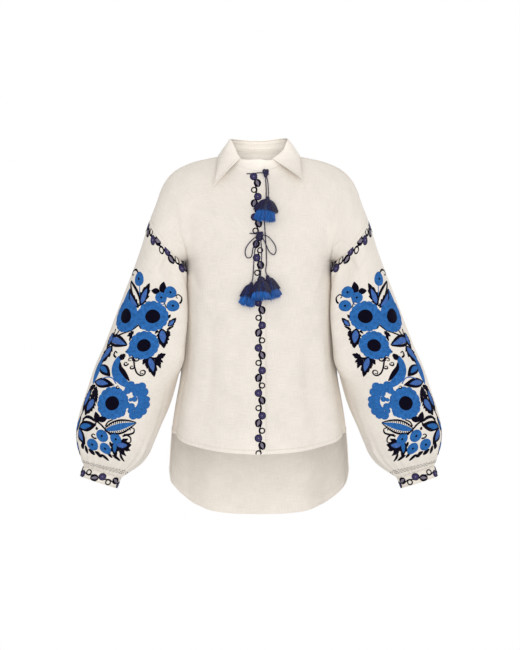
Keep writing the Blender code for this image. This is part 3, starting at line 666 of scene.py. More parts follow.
def cloth_wall(name, outer, inner, material, closed=False, seam=0):
    """A closed wall of cloth between two grids of points."""
    rows, columns = outer.shape[:2]
    places = real_places(outer, closed, seam)
    faces, corners = grid_faces(rows, columns, closed)
    inside = rows * columns
    flat = places.reshape(-1, 2)
    all_faces = [faces, faces[:, ::-1] + inside]
    all_places = [flat[corners], flat[corners[:, ::-1]]]
    numbers = np.arange(inside).reshape(rows, columns)
    wide = np.hstack([numbers, numbers[:, :1]]) if closed else numbers
    place_numbers = np.arange(wide.size).reshape(wide.shape)
    edges = [(wide[0], place_numbers[0], False), (wide[-1], place_numbers[-1], True)]
    if not closed:
        edges += [(wide[:, 0], place_numbers[:, 0], True), (wide[:, -1], place_numbers[:, -1], False)]
    for line, places_of, backwards in edges:
        rim = np.stack([line[:-1], line[:-1] + inside, line[1:] + inside, line[1:]], -1)
        rim_places = flat[np.stack([places_of[:-1], places_of[:-1], places_of[1:], places_of[1:]], -1)]
        rim_places[:, 1:3] += CLOTH
        if backwards:
            rim, rim_places = rim[:, ::-1], rim_places[:, ::-1]
        all_faces.append(rim)
        all_places.append(rim_places)
    mesh = Mesh()
    points = np.concatenate([outer.reshape(-1, 3), inner.reshape(-1, 3)])
    mesh.quads(points, np.concatenate(all_faces), np.concatenate(all_places))
    return mesh.build(f"{name}_cloth", [material])


# The camera stands as far off as a studio allows, level with the middle of the view.
VIEW_CENTRE = (2.15, 0.0, -361.2)
VIEW_HEIGHT = 1397.5
CAMERA_DISTANCE = 7000.0
SENSOR = 36.0


def add_camera():
    data = bpy.data.cameras.new("camera")
    data.sensor_width = SENSOR
    data.lens = SENSOR * CAMERA_DISTANCE / VIEW_HEIGHT
    data.clip_end = 60
    camera = bpy.data.objects.new("camera", data)
    x, y, z = VIEW_CENTRE
    camera.location = Vector((x, y - CAMERA_DISTANCE, z)) * MM
    camera.rotation_euler = (math.pi / 2, 0, 0)
    bpy.context.scene.collection.objects.link(camera)
    bpy.context.scene.camera = camera


class Nodes:
    """Short ways to add a material's nodes and join them."""

    def __init__(self, name):
        self.material = bpy.data.materials.new(name)
        self.material.use_nodes = True
        self.tree = self.material.node_tree
        self.shader = self.tree.nodes["Principled BSDF"]

    def put(self, socket, value):
        if isinstance(value, bpy.types.NodeSocket):
            self.tree.links.new(value, socket)
        else:
            socket.default_value = value

    def fill(self, node, **values):
        """Give a node's sockets their values or links."""
        for name, value in values.items():
            self.put(node.inputs[name.replace("_", " ")], value)
        return node

    def add(self, kind, settings=(), **values):
        node = self.tree.nodes.new(f"ShaderNode{kind}")
        for name, value in dict(settings).items():
            setattr(node, name, value)
        return self.fill(node, **values)

    def math(self, operation, first, second):
        node = self.add("Math", {"operation": operation})
        self.put(node.inputs[0], first)
        self.put(node.inputs[1], second)
        return node.outputs[0]

    def weighed(self, first, first_share, second, second_share):
        """The sum of two numbers, each times its share."""
        return self.math(
            "ADD", self.math("MULTIPLY", first, first_share), self.math("MULTIPLY", second, second_share)
        )

    def noise(self, places, scale, detail=2.0):
        """Noise whose grains are 1/scale long, in metres, each way."""
        stretched = self.add("Mapping", Vector=places, Scale=scale).outputs[0]
        return self.add("TexNoise", Vector=stretched, Scale=1.0, Detail=detail).outputs[0]

    def bands(self, places, direction, pitch, distortion=0.0):
        """Soft bands at a pitch in metres."""
        settings = {"wave_type": "BANDS", "bands_direction": direction, "wave_profile": "SIN"}
        scale = math.pi / (10 * pitch)
        wave = self.add("TexWave", settings, Vector=places, Scale=scale, Distortion=distortion, Detail=0.0)
        return wave.outputs["Fac"]

    def between(self, share, low, high, from_low=0.0, from_high=1.0):
        """A colour or a number between two, as the share goes between its own two."""
        node = self.add("MapRange", Value=share, From_Min=from_low, From_Max=from_high)
        if isinstance(low, tuple):
            settings = {"data_type": "RGBA"}
            mix = self.add("Mix", settings, Factor=node.outputs["Result"], A=low, B=high)
            return mix.outputs["Result"]
        return self.fill(node, To_Min=low, To_Max=high).outputs["Result"]


def scaled(shade, factor):
    """A colour made darker or lighter, as a socket takes it."""
    return (*(min(1.0, value * factor) for value in shade), 1.0)


# Real sizes in the materials, in metres.
WEAVE = 0.0009
STRAND = 0.00042
TWIST = 0.0011


def linen_material(name, shade):
    """Plain-woven linen with slubs both ways, a faint mottling and soft small rumples."""
    nodes = Nodes(name)
    places = nodes.add("TexCoord").outputs["UV"]
    warp = nodes.bands(places, "X", WEAVE, 0.4)
    weft = nodes.bands(places, "Y", WEAVE, 0.4)
    slub_down = nodes.noise(places, (1100, 45, 1))
    slub_across = nodes.noise(places, (38, 1000, 1))
    mottle = nodes.noise(places, (22, 22, 1), 3.0)
    slubs = nodes.math("MULTIPLY", nodes.math("ADD", slub_down, slub_across), 0.5)
    tone = nodes.weighed(slubs, 0.75, mottle, 0.25)
    threads = nodes.math("ADD", nodes.math("MULTIPLY", nodes.math("ADD", warp, weft), 0.5), slubs)
    fine = nodes.add("Bump", Strength=0.6, Distance=0.00016, Height=threads)
    rumple = nodes.noise(places, (40, 26, 1), 3.0)
    soft = nodes.add("Bump", Strength=0.35, Distance=0.0016, Height=rumple, Normal=fine.outputs[0])
    nodes.fill(
        nodes.shader,
        Base_Color=nodes.between(tone, scaled(shade, 0.90), scaled(shade, 1.07), 0.36, 0.64),
        Roughness=nodes.between(slubs, 0.93, 0.80, 0.35, 0.65),
        Sheen_Weight=0.12,
        Sheen_Roughness=0.45,
        Specular_IOR_Level=0.25,
        Normal=soft.outputs[0],
    )
    return nodes.material


def thread_material(name, shade):
    """Satin stitches that lie side by side, each a little lighter or darker."""
    nodes = Nodes(name)
    places = nodes.add("TexCoord").outputs["UV"]
    strands = nodes.bands(places, "Y", STRAND, 0.6)
    streaks = nodes.noise(places, (120, 1900, 1))
    wide = nodes.noise(places, (130, 130, 1))
    tone = nodes.weighed(streaks, 0.6, wide, 0.4)
    bump = nodes.add("Bump", Strength=0.8, Distance=0.00015, Height=strands)
    nodes.fill(
        nodes.shader,
        Base_Color=nodes.between(tone, scaled(shade, 0.62), scaled(shade, 1.5), 0.34, 0.66),
        Roughness=nodes.between(strands, 0.67, 0.55),
        Specular_IOR_Level=0.04,
        Normal=bump.outputs[0],
    )
    return nodes.material


def yarn_material(name, shade):
    """Soft twisted yarn. Each strand has its own tone."""
    nodes = Nodes(name)
    places = nodes.add("TexCoord").outputs["UV"]
    twist = nodes.bands(places, "DIAGONAL", TWIST)
    fuzz = nodes.noise(places, (1500, 1500, 1))
    strand = nodes.noise(places, (35, 900, 1), 0.0)
    bump = nodes.add("Bump", Strength=0.8, Distance=0.0003, Height=nodes.math("ADD", twist, fuzz))
    nodes.fill(
        nodes.shader,
        Base_Color=nodes.between(strand, scaled(shade, 0.55), scaled(shade, 1.6), 0.3, 0.7),
        Roughness=nodes.between(fuzz, 0.75, 0.92, 0.3, 0.7),
        Sheen_Weight=0.25,
        Sheen_Roughness=0.4,
        Normal=bump.outputs[0],
    )
    return nodes.material


def dress(piece, node):
    """Hide the CAD node that a piece replaces."""
    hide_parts(node)


def tube_rings(path, radius, sides, lobes=0, pitch=7.0, lobe_depth=0.0):
    """Rings of points round a path, and their places. Lobes wind round it like the strands of a cord."""
    path = np.asarray(path, float)
    radius = np.broadcast_to(np.asarray(radius, float), len(path))
    tangents = unit(np.gradient(path, axis=0))
    side = unit(np.cross(tangents[0], (0.0, 0.31, 0.95)))
    first = []
    for tangent in tangents:
        side = unit(side - tangent * (side @ tangent))
        first.append(side)
    first = np.array(first)
    second = np.cross(tangents, first)
    along = walked(path)
    angle = np.arange(sides) * 2 * math.pi / sides
    reach = np.ones((len(path), sides))
    if lobes:
        wound = lobes * (angle - 2 * math.pi * along[:, None] / pitch)
        reach -= lobe_depth * (0.5 - 0.5 * np.cos(wound))
    reach = reach * radius[:, None]
    ring = first[:, None] * np.cos(angle)[:, None] + second[:, None] * np.sin(angle)[:, None]
    points = path[:, None] + ring * reach[..., None]
    across = np.arange(sides + 1) / sides * 2 * math.pi * radius.mean()
    places = np.stack(np.broadcast_arrays(along[:, None], across), -1)
    return points, places


def add_tube(mesh, path, radius, sides, offset=0.0, **twist):
    """Add a tube. The offset moves its places, so that tubes differ in tone."""
    points, places = tube_rings(path, radius, sides, **twist)
    mesh.grid(points, places + np.array([0.0, offset]), closed=True, flip=True)


END_LENGTH = 0.55  # of the radius, how far the last ring stands off a cord's end
END_RADIUS = 0.25


def closed_ends(path, radius):
    """A path and radii with a small last ring at each end, so that a tube ends round."""
    start = path[0] + unit(path[0] - path[1]) * radius * END_LENGTH
    end = path[-1] + unit(path[-1] - path[-2]) * radius * END_LENGTH
    radii = np.full(len(path) + 2, radius, float)
    radii[[0, -1]] *= END_RADIUS
    return np.vstack([start, path, end]), radii


CORD_RADIUS = CORD_THICKNESS / 2
CORD_FINE_STEP = 0.8
CORD_PLY = dict(sides=15, lobes=3, pitch=7.0, lobe_depth=0.24)
CORD_ROUTE_POINTS = 18  # the least number of points that a cord's route is read at
# What each free cord ends at, and the pieces that hang on it.
FREE_CORDS = {
    "tie_upper_band": ("knot", ["tie_upper_knot"]),
    "tie_upper_short": ("object", ["tassel_upper"]),
    "tie_upper_long": ("object", ["tassel_right"]),
    "tie_lower_loop_left": ("object", ["tie_lower_knot", "tie_lower_band"]),
    "tie_lower_loop_right": ("object", []),
    "tie_lower_end_left": ("object", ["tassel_left"]),
    "tie_lower_end_right": ("object", ["tassel_middle"]),
}


def build_cords(yarn):
    """The cords of the ties, each three strands twisted together."""
    cords = {}
    for name in CORDS:
        mesh = Mesh()
        add_tube(mesh, *closed_ends(resample(cord_points(name), CORD_FINE_STEP), CORD_RADIUS), **CORD_PLY)
        cords[name] = mesh.build(f"{name}_cord", [yarn], sharp=80)
        dress(cords[name], name)
    return cords


def declare_cords(others):
    for name, (far_end, held) in FREE_CORDS.items():
        length = np.linalg.norm(np.diff(cord_points(name), axis=0), axis=1).sum() * MM
        count = max(CORD_ROUTE_POINTS, len(cord_points(name)))
        route = resample(cord_points(name), length / MM / (count - 1)) * MM
        [others[piece] for piece in held]


# How thick the doubled strand of a knot is, how far it bulges, and how its two outer wraps lean.
KNOT_STRAND = 2.0
KNOT_SWELL = np.array([1.2, 1.0, 1.14])
KNOT_PLY = dict(sides=12, lobes=3, pitch=6.5, lobe_depth=0.22)
WRAP_LEANS = (-0.28, 0.3)


def knot_line(turns):
    """The line of a simple overhand knot, within a cube from -1 to 1."""
    x = (np.sin(turns) + 2 * np.sin(2 * turns)) / 3
    z = (np.cos(turns) - 2 * np.cos(2 * turns)) / 3
    y = -np.sin(3 * turns)
    return np.stack([x, y, z], -1)


def build_knots(yarn):
    knots = {}
    for name in KNOTS:
        middle, half = knot_frame(name)
        mesh = Mesh()
        room = half * KNOT_SWELL - KNOT_STRAND
        line = middle + knot_line(np.linspace(0, 2 * math.pi, 91)) * room
        add_tube(mesh, line, KNOT_STRAND, **KNOT_PLY)
        wrap = np.linspace(0, 2 * math.pi, 49)
        for lean in WRAP_LEANS:
            across = np.sin(wrap) * room[0] * 0.9
            out = -np.cos(wrap) * room[1] * 0.98
            up = across * lean + np.sin(wrap * 2) * 0.6 + lean * 6
            add_tube(mesh, middle + np.stack([across, out, up], -1), KNOT_STRAND * 0.92, **KNOT_PLY)
        knots[name] = mesh.build(f"{name}_wound", [yarn], sharp=80)
        dress(knots[name], name)
    return knots


# The yarn of the tassels.
YARN_RADIUS = 0.62
NAVY_YARNS = 330
BLUE_YARNS = 300
YARN_STEPS = 8
YARN_TAPER = np.linspace(1.0, 0.8, YARN_STEPS)
YARN_OFFSET = 4.0  # from one yarn to the next on the material
HEAD_ROWS = 12
HEAD_SIDES = 40
HEAD_GROOVE = 0.09


def skirt_point(frame, share, half_width, half_depth, angle):
    """A point round a tassel at a share of its length."""
    top, down, across = frame
    out = unit(np.cross(down, across))
    around = across * half_width * math.cos(angle) + out * half_depth * math.sin(angle)
    return top + down * share + around


def yarn_line(frame, rng, root, tip, half_width, half_depth):
    """One yarn of a skirt, from its root in the head to its tip."""
    angle = rng.uniform(0, 2 * math.pi)
    ring = rng.uniform(0.02, 1) ** 0.34
    end = tip * (1 + rng.normal(0, 0.03)) * (1 - 0.1 * ring**3)
    shares = np.linspace(root[0], end, YARN_STEPS)
    spread = np.clip((shares - root[0]) / (tip - root[0]), 0, None) ** 0.5
    width = (root[1] + (half_width - root[1]) * spread) * ring
    depth = (root[2] + (half_depth - root[2]) * spread) * ring
    wave = np.sin(np.linspace(0, rng.uniform(2, 6), YARN_STEPS) + rng.uniform(0, 6))
    sway = angle + (wave * 0.09 + rng.normal(0, 0.06)) * spread
    return np.array([skirt_point(frame, *place) for place in zip(shares, width, depth, sway)])


def add_skirt(mesh, frame, rng, count, *sizes):
    """Add a number of yarns. The sizes are those of a yarn's line."""
    for number in range(count):
        line = yarn_line(frame, rng, *sizes)
        add_tube(mesh, line, YARN_TAPER * YARN_RADIUS, sides=3, offset=number * YARN_OFFSET)


def head_rings(frame):
    """The grooved head that binds a tassel."""
    angles = np.arange(HEAD_SIDES) * 2 * math.pi / HEAD_SIDES
    grooves = 1 - HEAD_GROOVE * (np.arange(HEAD_SIDES) % 2)
    rings = []
    for share in np.linspace(0, TASSEL_HEAD["share"][-1], HEAD_ROWS):
        wide = curve(share, TASSEL_HEAD["share"], TASSEL_HEAD["half_width"])
        deep = curve(share, TASSEL_HEAD["share"], TASSEL_HEAD["half_depth"])
        ring = [skirt_point(frame, share, wide * g, deep * g, angle) for g, angle in zip(grooves, angles)]
        rings.append(ring)
    return np.array(rings)


def build_tassels(navy, blue):
    """Tassels of loose yarn: a bound head, a navy skirt and a longer blue one inside it."""
    share, wide, deep = (TASSEL_HEAD[column][-1] for column in ("share", "half_width", "half_depth"))
    navy_root = (share * 0.8, wide * 0.93, deep * 0.93)
    blue_root = (share * 0.9, TASSEL_CORE["half_width"][-1], TASSEL_CORE["half_depth"][-1])
    tassels = {}
    for number, (name, tassel) in enumerate(TASSELS.items()):
        frame = tassel_frame(name)
        rng = np.random.default_rng(100 + number)
        outer, inner = Mesh(), Mesh()
        rings = head_rings(frame)
        outer.grid(rings, real_places(rings, True), closed=True, flip=True)
        add_skirt(outer, frame, rng, NAVY_YARNS, navy_root, tassel["navy_end"], tassel["navy"], NAVY_DEPTH)
        add_skirt(inner, frame, rng, BLUE_YARNS, blue_root, 1.0, tassel["blue"], BLUE_DEPTH)
        tassels[name] = outer.build(f"{name}_yarn", [navy], sharp=80)
        dress(tassels[name], name)
        dress(inner.build(f"{name}_inner_yarn", [blue], sharp=80), f"{name}_core")
    return tassels


# Creases of the front and the back, each a soft ridge (above 0) or trough along a line of its view.
# Across is towards the wearer's left, and down is the drop.
CREASES = table(
    "front from_across from_down to_across to_down bow width height",
    (1, 150, 215, 96, 335, 10, 9, -3.2),
    (1, 138, 235, 84, 352, 8, 9, 2.4),
    (1, -150, 215, -101, 322, -9, 9, -3.4),
    (1, -136, 238, -80, 370, -7, 10, 2.3),
    (1, 176, 78, 158, 190, -6, 9, 3.4),
    (1, 160, 92, 148, 214, -7, 9, -3.0),
    (1, -180, 76, -160, 186, 6, 9, 3.6),
    (1, -163, 95, -150, 210, 7, 9, -3.0),
    (1, 118, 40, 66, 132, 6, 14, 1.6),
    (1, -120, 44, -70, 150, -5, 13, 1.7),
    (1, 60, 330, 72, 560, 6, 13, 1.8),
    (1, 100, 380, 112, 600, -5, 11, -2.0),
    (1, 136, 300, 150, 560, 4, 9, -2.6),
    (1, -58, 350, -70, 590, -5, 13, 1.7),
    (1, -98, 330, -116, 580, 5, 11, -2.1),
    (1, -140, 330, -153, 540, -4, 9, -2.3),
    (1, 34, 170, 40, 330, 4, 12, -1.0),
    (1, -38, 210, -44, 400, -4, 12, -1.1),
    (0, 148, 215, 90, 350, 9, 10, -3.4),
    (0, 132, 240, 74, 390, 8, 11, 2.5),
    (0, -148, 215, -94, 340, -9, 10, -3.2),
    (0, -134, 244, -70, 400, -8, 11, 2.6),
    (0, 175, 80, 157, 196, -6, 9, 3.2),
    (0, -178, 82, -158, 200, 6, 9, 3.4),
    (0, 20, 120, 28, 420, 8, 15, 1.6),
    (0, -30, 170, -36, 520, -7, 14, -1.8),
    (0, 70, 420, 84, 730, 6, 14, 2.2),
    (0, 112, 400, 126, 690, -6, 12, -2.6),
    (0, -76, 430, -92, 740, -6, 14, 2.3),
    (0, -118, 380, -130, 690, 6, 12, -2.4),
    (0, 100, 60, 52, 170, 6, 15, 1.8),
    (0, -104, 58, -48, 185, -6, 15, 1.7),
)

# Creases of the sleeves, by the angle round the ring and the place down the sleeve.
SLEEVE_CREASES = table(
    "from_across from_down to_across to_down bow width height",
    (168, 0.1, 120, 2.6, 6, 8, -3.0),
    (150, 0.2, 96, 2.9, 7, 9, 2.4),
    (196, 0.1, 244, 2.4, -6, 8, -2.8),
    (212, 0.3, 262, 2.8, -7, 9, 2.3),
    (132, 3.4, 150, 6.6, 5, 8, -2.4),
    (148, 4.2, 162, 8.4, -4, 8, 2.2),
    (118, 6.4, 96, 9.6, -6, 10, -2.6),
    (140, 7.6, 118, 11.2, 5, 9, 2.8),
    (66, 7.9, 52, 11.0, 4, 9, -2.2),
    (30, 6.8, 44, 10.4, -5, 10, 2.4),
    (86, 9.2, 92, 12.4, 3, 6, -3.0),
    (112, 9.8, 104, 12.6, -3, 5, 3.0),
    (136, 9.4, 122, 12.5, 3, 6, -3.2),
    (156, 9.9, 142, 12.6, -3, 5, 2.9),
    (58, 10.1, 66, 12.6, 3, 5, -2.6),
    (34, 9.7, 46, 12.5, -3, 6, 2.8),
    (10, 9.9, 18, 12.6, 3, 5, -2.8),
    (228, 3.2, 206, 6.8, 5, 9, -2.4),
    (250, 5.6, 270, 9.4, -6, 10, 2.5),
    (214, 7.2, 236, 11.0, 5, 9, -2.6),
    (300, 6.8, 318, 10.6, -5, 10, 2.4),
    (332, 7.8, 322, 11.2, 4, 9, -2.5),
    (208, 9.7, 220, 12.5, 3, 6, 3.0),
    (242, 9.4, 236, 12.6, -3, 5, -3.0),
    (268, 9.9, 260, 12.4, 3, 6, 2.8),
    (292, 9.6, 288, 12.6, -3, 5, -2.8),
    (318, 10.0, 306, 12.5, 3, 6, 3.0),
    (344, 9.5, 336, 12.6, -3, 6, -2.7),
)
CREASE_FLANKS = (1.35, 0.8)  # of its width, the softer and the steeper one
CREASE_FADE = 1.3  # how sharply a crease begins and ends
CREASES_END_TURN = 0.93  # from here the creases die away to the side seam
CREASES_END_LEVEL = 1.9  # and from here to the top
HEM_WIDTH = 9.0  # the folded hem
HEM_RISE = 0.55
HEM_EDGE = 1.1
HEM_END_TURN = 0.98


def crease_height(creases, across, down, down_size=1.0):
    """How far the creases move places of the cloth outwards."""
    height = np.zeros(np.broadcast(across, down).shape)
    for row in range(len(creases["width"])):
        crease = {name: column[row] for name, column in creases.items()}
        start = np.array([crease["from_across"], crease["from_down"] * down_size])
        run = np.array([crease["to_across"], crease["to_down"] * down_size]) - start
        length = math.hypot(*run)
        run = run / length
        offset_across = across - start[0]
        offset_down = down * down_size - start[1]
        share = np.clip((offset_across * run[0] + offset_down * run[1]) / length, 0, 1)
        aside = offset_across * run[1] - offset_down * run[0]
        aside = aside - crease["bow"] * np.sin(math.pi * share)
        width = crease["width"] * np.where(aside > 0, *CREASE_FLANKS)
        along = np.sin(math.pi * share) ** CREASE_FADE
        height += crease["height"] * along * np.exp(-((aside / width) ** 2))
    return height


def hem_height(from_hem):
    """How far the folded hem stands up, by the distance from the cloth's edge."""
    return HEM_RISE * (1 - smooth((from_hem - HEM_WIDTH) / HEM_EDGE))


def creases_of(front):
    chosen = CREASES["front"] == front
    return {name: column[chosen] for name, column in CREASES.items() if name != "front"}


HEM_ROWS = (0.0, 1.2, 3.5, 6.0, 8.2, 9.0, 9.8, 12.0, 16.0)
BODY_REACH = 400.0  # from the hem to the armpit, to place the hem's rows
LOW_LEVELS = np.concatenate([np.array(HEM_ROWS) / BODY_REACH, np.linspace(0.05, 1, 72)])
HIGH_LEVELS = 1 + np.arange(1, 55) / 54
LEVELS = np.concatenate([LOW_LEVELS, HIGH_LEVELS])
ARMPIT_ROW = len(LOW_LEVELS) - 1
TURNS = np.concatenate([np.linspace(0, NECK_SHARE, 19), np.linspace(NECK_SHARE, 1, 49)[1:]])


def half_panel(front, side):
    """The outer points of a half panel and the inward directions of its wall."""
    levels = LEVELS[:, None]
    outer = body_point(front, side, TURNS, levels)
    inward = inward_of(outer, np.array([0, 0, -ARMPIT_DROP]))
    seam_y = SEAM_GAP / 2 * (-1 if front else 1)
    height = crease_height(creases_of(front), outer[..., 0], -outer[..., 2])
    height *= 1 - smooth((TURNS - CREASES_END_TURN) / 0.07)
    height *= 1 - smooth((levels - CREASES_END_LEVEL) / 0.1)
    hem = FRONT_HEM if front else BACK_HEM
    from_hem = levels * (curve(TURNS, hem["turn"], hem["drop"]) - ARMPIT_DROP)
    height += hem_height(from_hem) * (1 - smooth((TURNS - HEM_END_TURN) / 0.02))
    outer = outer - inward * height[..., None]

    # The side seam.
    inward[:ARMPIT_ROW, -1] = (-side, 0, 0)
    outer[:ARMPIT_ROW, -1, 1] = seam_y

    # The armhole, whose ring is shared with the sleeve.
    theta = 180 * (2 - LEVELS[ARMPIT_ROW:])
    ring = armhole(front, theta)
    inward[ARMPIT_ROW:, -1] = armhole_inward(theta, ring) * mirror(side)
    outer[ARMPIT_ROW:, -1] = (ring - seam_normal() * SEAM_GAP / 2) * mirror(side)
    outer[ARMPIT_ROW, -1, 1] = seam_y

    # The shoulder seam, whose wall points straight in from the ridge.
    on_shoulder = (TURNS >= NECK_SHARE - 1e-9) & (TURNS < 1)
    along = unit(np.gradient(top_edge(front, TURNS), axis=0))
    across = np.stack([along[:, 2], np.zeros(len(TURNS)), -along[:, 0]], -1)
    inward[-1, on_shoulder] = unit(across[on_shoulder]) * mirror(side)
    outer[-1, TURNS >= NECK_SHARE - 1e-9, 1] = seam_y
    return outer, inward


LAP_STEPS = np.array([1.0, 0.97, 0.86, 0.7, 0.5, 0.3, 0.12])  # from the edge to the centre line


def build_fronts(linen):
    fronts = {}
    for side, name in ((-1, "front_right"), (1, "front_left")):
        outer, inward = half_panel(True, side)
        lap_turn = turn_at(side, LAP_EDGE, LEVELS)
        lap = body_point(True, side, -lap_turn[:, None] * LAP_STEPS, LEVELS[:, None])
        lap_inward = np.repeat(unit(inward[:, :1] * np.array([0, 1, 1])), len(LAP_STEPS), axis=1)
        from_hem = LEVELS[:, None] * (FRONT_HEM["drop"][0] - ARMPIT_DROP)
        lap = lap - lap_inward * hem_height(from_hem)[..., None]
        outer = np.concatenate([lap, outer], axis=1)
        inward = np.concatenate([lap_inward, inward], axis=1)
        if side == 1:
            outer[..., 1] += LAP_DEPTH * (1 - smooth((outer[..., 0] - LAP_EDGE) / LAP_FADE))
        fronts[name] = (outer, inward)
    pieces = {}
    for name, (outer, inward) in fronts.items():
        if name == "front_right":
            outer, inward = outer[:, ::-1], inward[:, ::-1]
        pieces[name] = cloth_wall(name, outer, outer + inward * CLOTH, linen)
    return pieces, fronts


def build_back(linen):
    left_outer, left_inward = half_panel(False, 1)
    right_outer, right_inward = half_panel(False, -1)
    outer = np.concatenate([left_outer[:, :0:-1], right_outer], axis=1)
    inward = np.concatenate([left_inward[:, :0:-1], right_inward], axis=1)
    return cloth_wall("back", outer, outer + inward * CLOTH, linen, seam=len(TURNS) - 1), outer, inward


SLEEVE_ROWS = np.concatenate([np.linspace(0, 9, 86), np.linspace(9, 13, 49)[1:]])
SLEEVE_COLUMNS = np.arange(152) * 360 / 152
PLACE_LENGTH = 48.0  # millimetres of sleeve from one section to the next, for the creases
DEGREE_LENGTH = 1.45  # millimetres round the sleeve to a degree
CREASE_START = 0.5  # the places over which the sleeve's creases begin and end
CREASE_END = (12.2, 0.8)


def uneven_gathers(place, theta):
    """How far the gathers move the sleeve outwards: pleats that differ in width and depth."""
    angle = np.radians(theta)
    phase = GATHERS * angle + 0.9 * np.sin(3 * angle + 1) + 0.7 * np.sin(5 * angle)
    depth = 0.8 + 0.3 * np.sin(7 * angle + 2) + 0.15 * np.sin(11 * angle)
    section = section_at(SLEEVE, place, theta)
    wave = section["gather"] * 0.95 * depth
    return wave * (np.cos(phase) + 0.25 * np.cos(2 * phase + 1))


# The sleeve's inner side folds forwards and backwards round the body's side, so that no gap shows
# between them above the waist.
SIDE_FOLD = 23.0
SIDE_FOLD_ANGLE = 32.0
SIDE_FOLD_WIDTH = 18.0
SIDE_FOLD_START = 0.4
SIDE_FOLD_END = (5.7, 7.6)


def side_fold(place, theta):
    from_inner = np.abs(np.mod(theta, 360) - 180)
    shape = np.exp(-(((from_inner - SIDE_FOLD_ANGLE) / SIDE_FOLD_WIDTH) ** 2))
    low, high = SIDE_FOLD_END
    fade = smooth(place / SIDE_FOLD_START) * (1 - smooth((place - low) / (high - low)))
    return SIDE_FOLD * shape * fade


def sleeve_surface(place, theta, out=0.0, gathered=True):
    """A point of the left sleeve's outer face with its folds, creases and gathers."""
    place, theta = np.broadcast_arrays(np.asarray(place, float), np.asarray(theta, float))
    section = section_at(SLEEVE, place, theta)
    turned = np.mod(theta, 360)
    height = crease_height(SLEEVE_CREASES, turned * DEGREE_LENGTH, place, PLACE_LENGTH)
    end, fade = CREASE_END
    height *= smooth(place / CREASE_START) * (1 - smooth((place - end) / fade))
    height += side_fold(place, theta)
    if gathered:
        height += uneven_gathers(place, theta)
    return ring_point(section, theta, out + height)


def build_sleeves(linen):
    sleeves = {}
    rows = SLEEVE_ROWS[:, None]
    for side, name in ((-1, "sleeve_right"), (1, "sleeve_left")):
        layers = []
        for out in (0, -CLOTH):
            points = sleeve_surface(rows, SLEEVE_COLUMNS, out)
            points[0] = points[0] + seam_normal() * SEAM_GAP / 2
            layers.append(points * mirror(side))
        outer, inner = (layer[:, ::-1] if side == 1 else layer for layer in layers)
        sleeves[name] = cloth_wall(name, outer, inner, linen, closed=True)
    return sleeves


CUFF_ROWS = np.array([0, 0.02, 0.08, 0.2, 0.4, 0.7, 1.0, 1.3, 1.6, 1.8, 1.92, 1.98, 2.0])
CUFF_COLUMNS = np.arange(120) * 3.0
CUFF_RIPPLE = 0.25
CUFF_SMALL_RIPPLE = 0.2
CUFF_ROUNDING = 0.35  # how far its edges are rounded, and over how many rows
CUFF_ROUNDED = 0.08


def cuff_surface(row, theta, out=0.0):
    """A point of the left cuff's outer face."""
    row, theta = np.broadcast_arrays(np.asarray(row, float), np.asarray(theta, float))
    angle = np.radians(theta)
    ripple = CUFF_RIPPLE * np.sin(9 * angle + 1.0) + CUFF_SMALL_RIPPLE * np.sin(14 * angle)
    ripple = ripple * (1 - row / 2)
    point = ring_point(section_at(CUFF, row, theta), theta, CUFF_OUT + out + ripple)
    return point - np.array([0, 0, SEAM_GAP])


def build_cuffs(linen):
    cuffs = {}
    for side, name in ((-1, "cuff_right"), (1, "cuff_left")):
        edge = np.minimum(CUFF_ROWS, 2 - CUFF_ROWS)
        rounded = CUFF_ROUNDING * (1 - smooth(edge / CUFF_ROUNDED))
        layers = [
            cuff_surface(CUFF_ROWS[:, None], CUFF_COLUMNS, out) * mirror(side)
            for out in (-rounded[:, None], rounded[:, None] - CUFF_CLOTH)
        ]
        outer, inner = (layer[:, ::-1] if side == 1 else layer for layer in layers)
        cuffs[name] = cloth_wall(name, outer, inner, linen, closed=True)
    return cuffs


# The layers folded in inside the stand: from and to a share of its height, and how far they stand in.
STAND_LAYERS = ((0.2, 0.44, 0.55), (0.72, 1.2, 0.45))
STAND_EDGE_RISE = 0.025  # of its height, over which such a layer begins or ends
STAND_COLUMNS = 241
STAND_ROWS = 33
TUCK_START = -270  # the wearer's left shoulder, from which the stand is tucked in with the left front


def step_up(raised, place):
    """From 0 to 1 where the inner face of the stand steps up."""
    return smooth((raised - place) / STAND_EDGE_RISE)


def build_stand(linen):
    """The stand runs from the right front's edge round the back, and its left end is tucked under."""
    end = math.degrees(math.asin(STAND_END / NECK_HALF))
    angles = np.linspace(end, -360 - end, STAND_COLUMNS)
    raised = np.linspace(0, 1, STAND_ROWS)
    outer = np.array([neck(angles, share) for share in raised])
    outer[0, :, 2] += SEAM_GAP
    inward = unit(outer * np.array([-1, -1, 0]))
    on_left_front = angles < TUCK_START
    tuck = LAP_DEPTH * (1 - smooth((outer[..., 0] - LAP_EDGE) / LAP_FADE)) * on_left_front
    outer = outer + inward * tuck[..., None]
    doubled = sum(
        height * step_up(raised, low) * (1 - step_up(raised, high))
        for low, high, height in STAND_LAYERS
    )
    inner = outer + inward * (CLOTH + doubled[:, None, None])
    piece = cloth_wall("collar_stand", outer[::-1], inner[::-1], linen, seam=STAND_COLUMNS // 2)
    return piece, inner, inward


LEAF_FINE_STEP = 2.0
LEAF_ROWS = 26
LEAF_ROLL_ROWS = 6


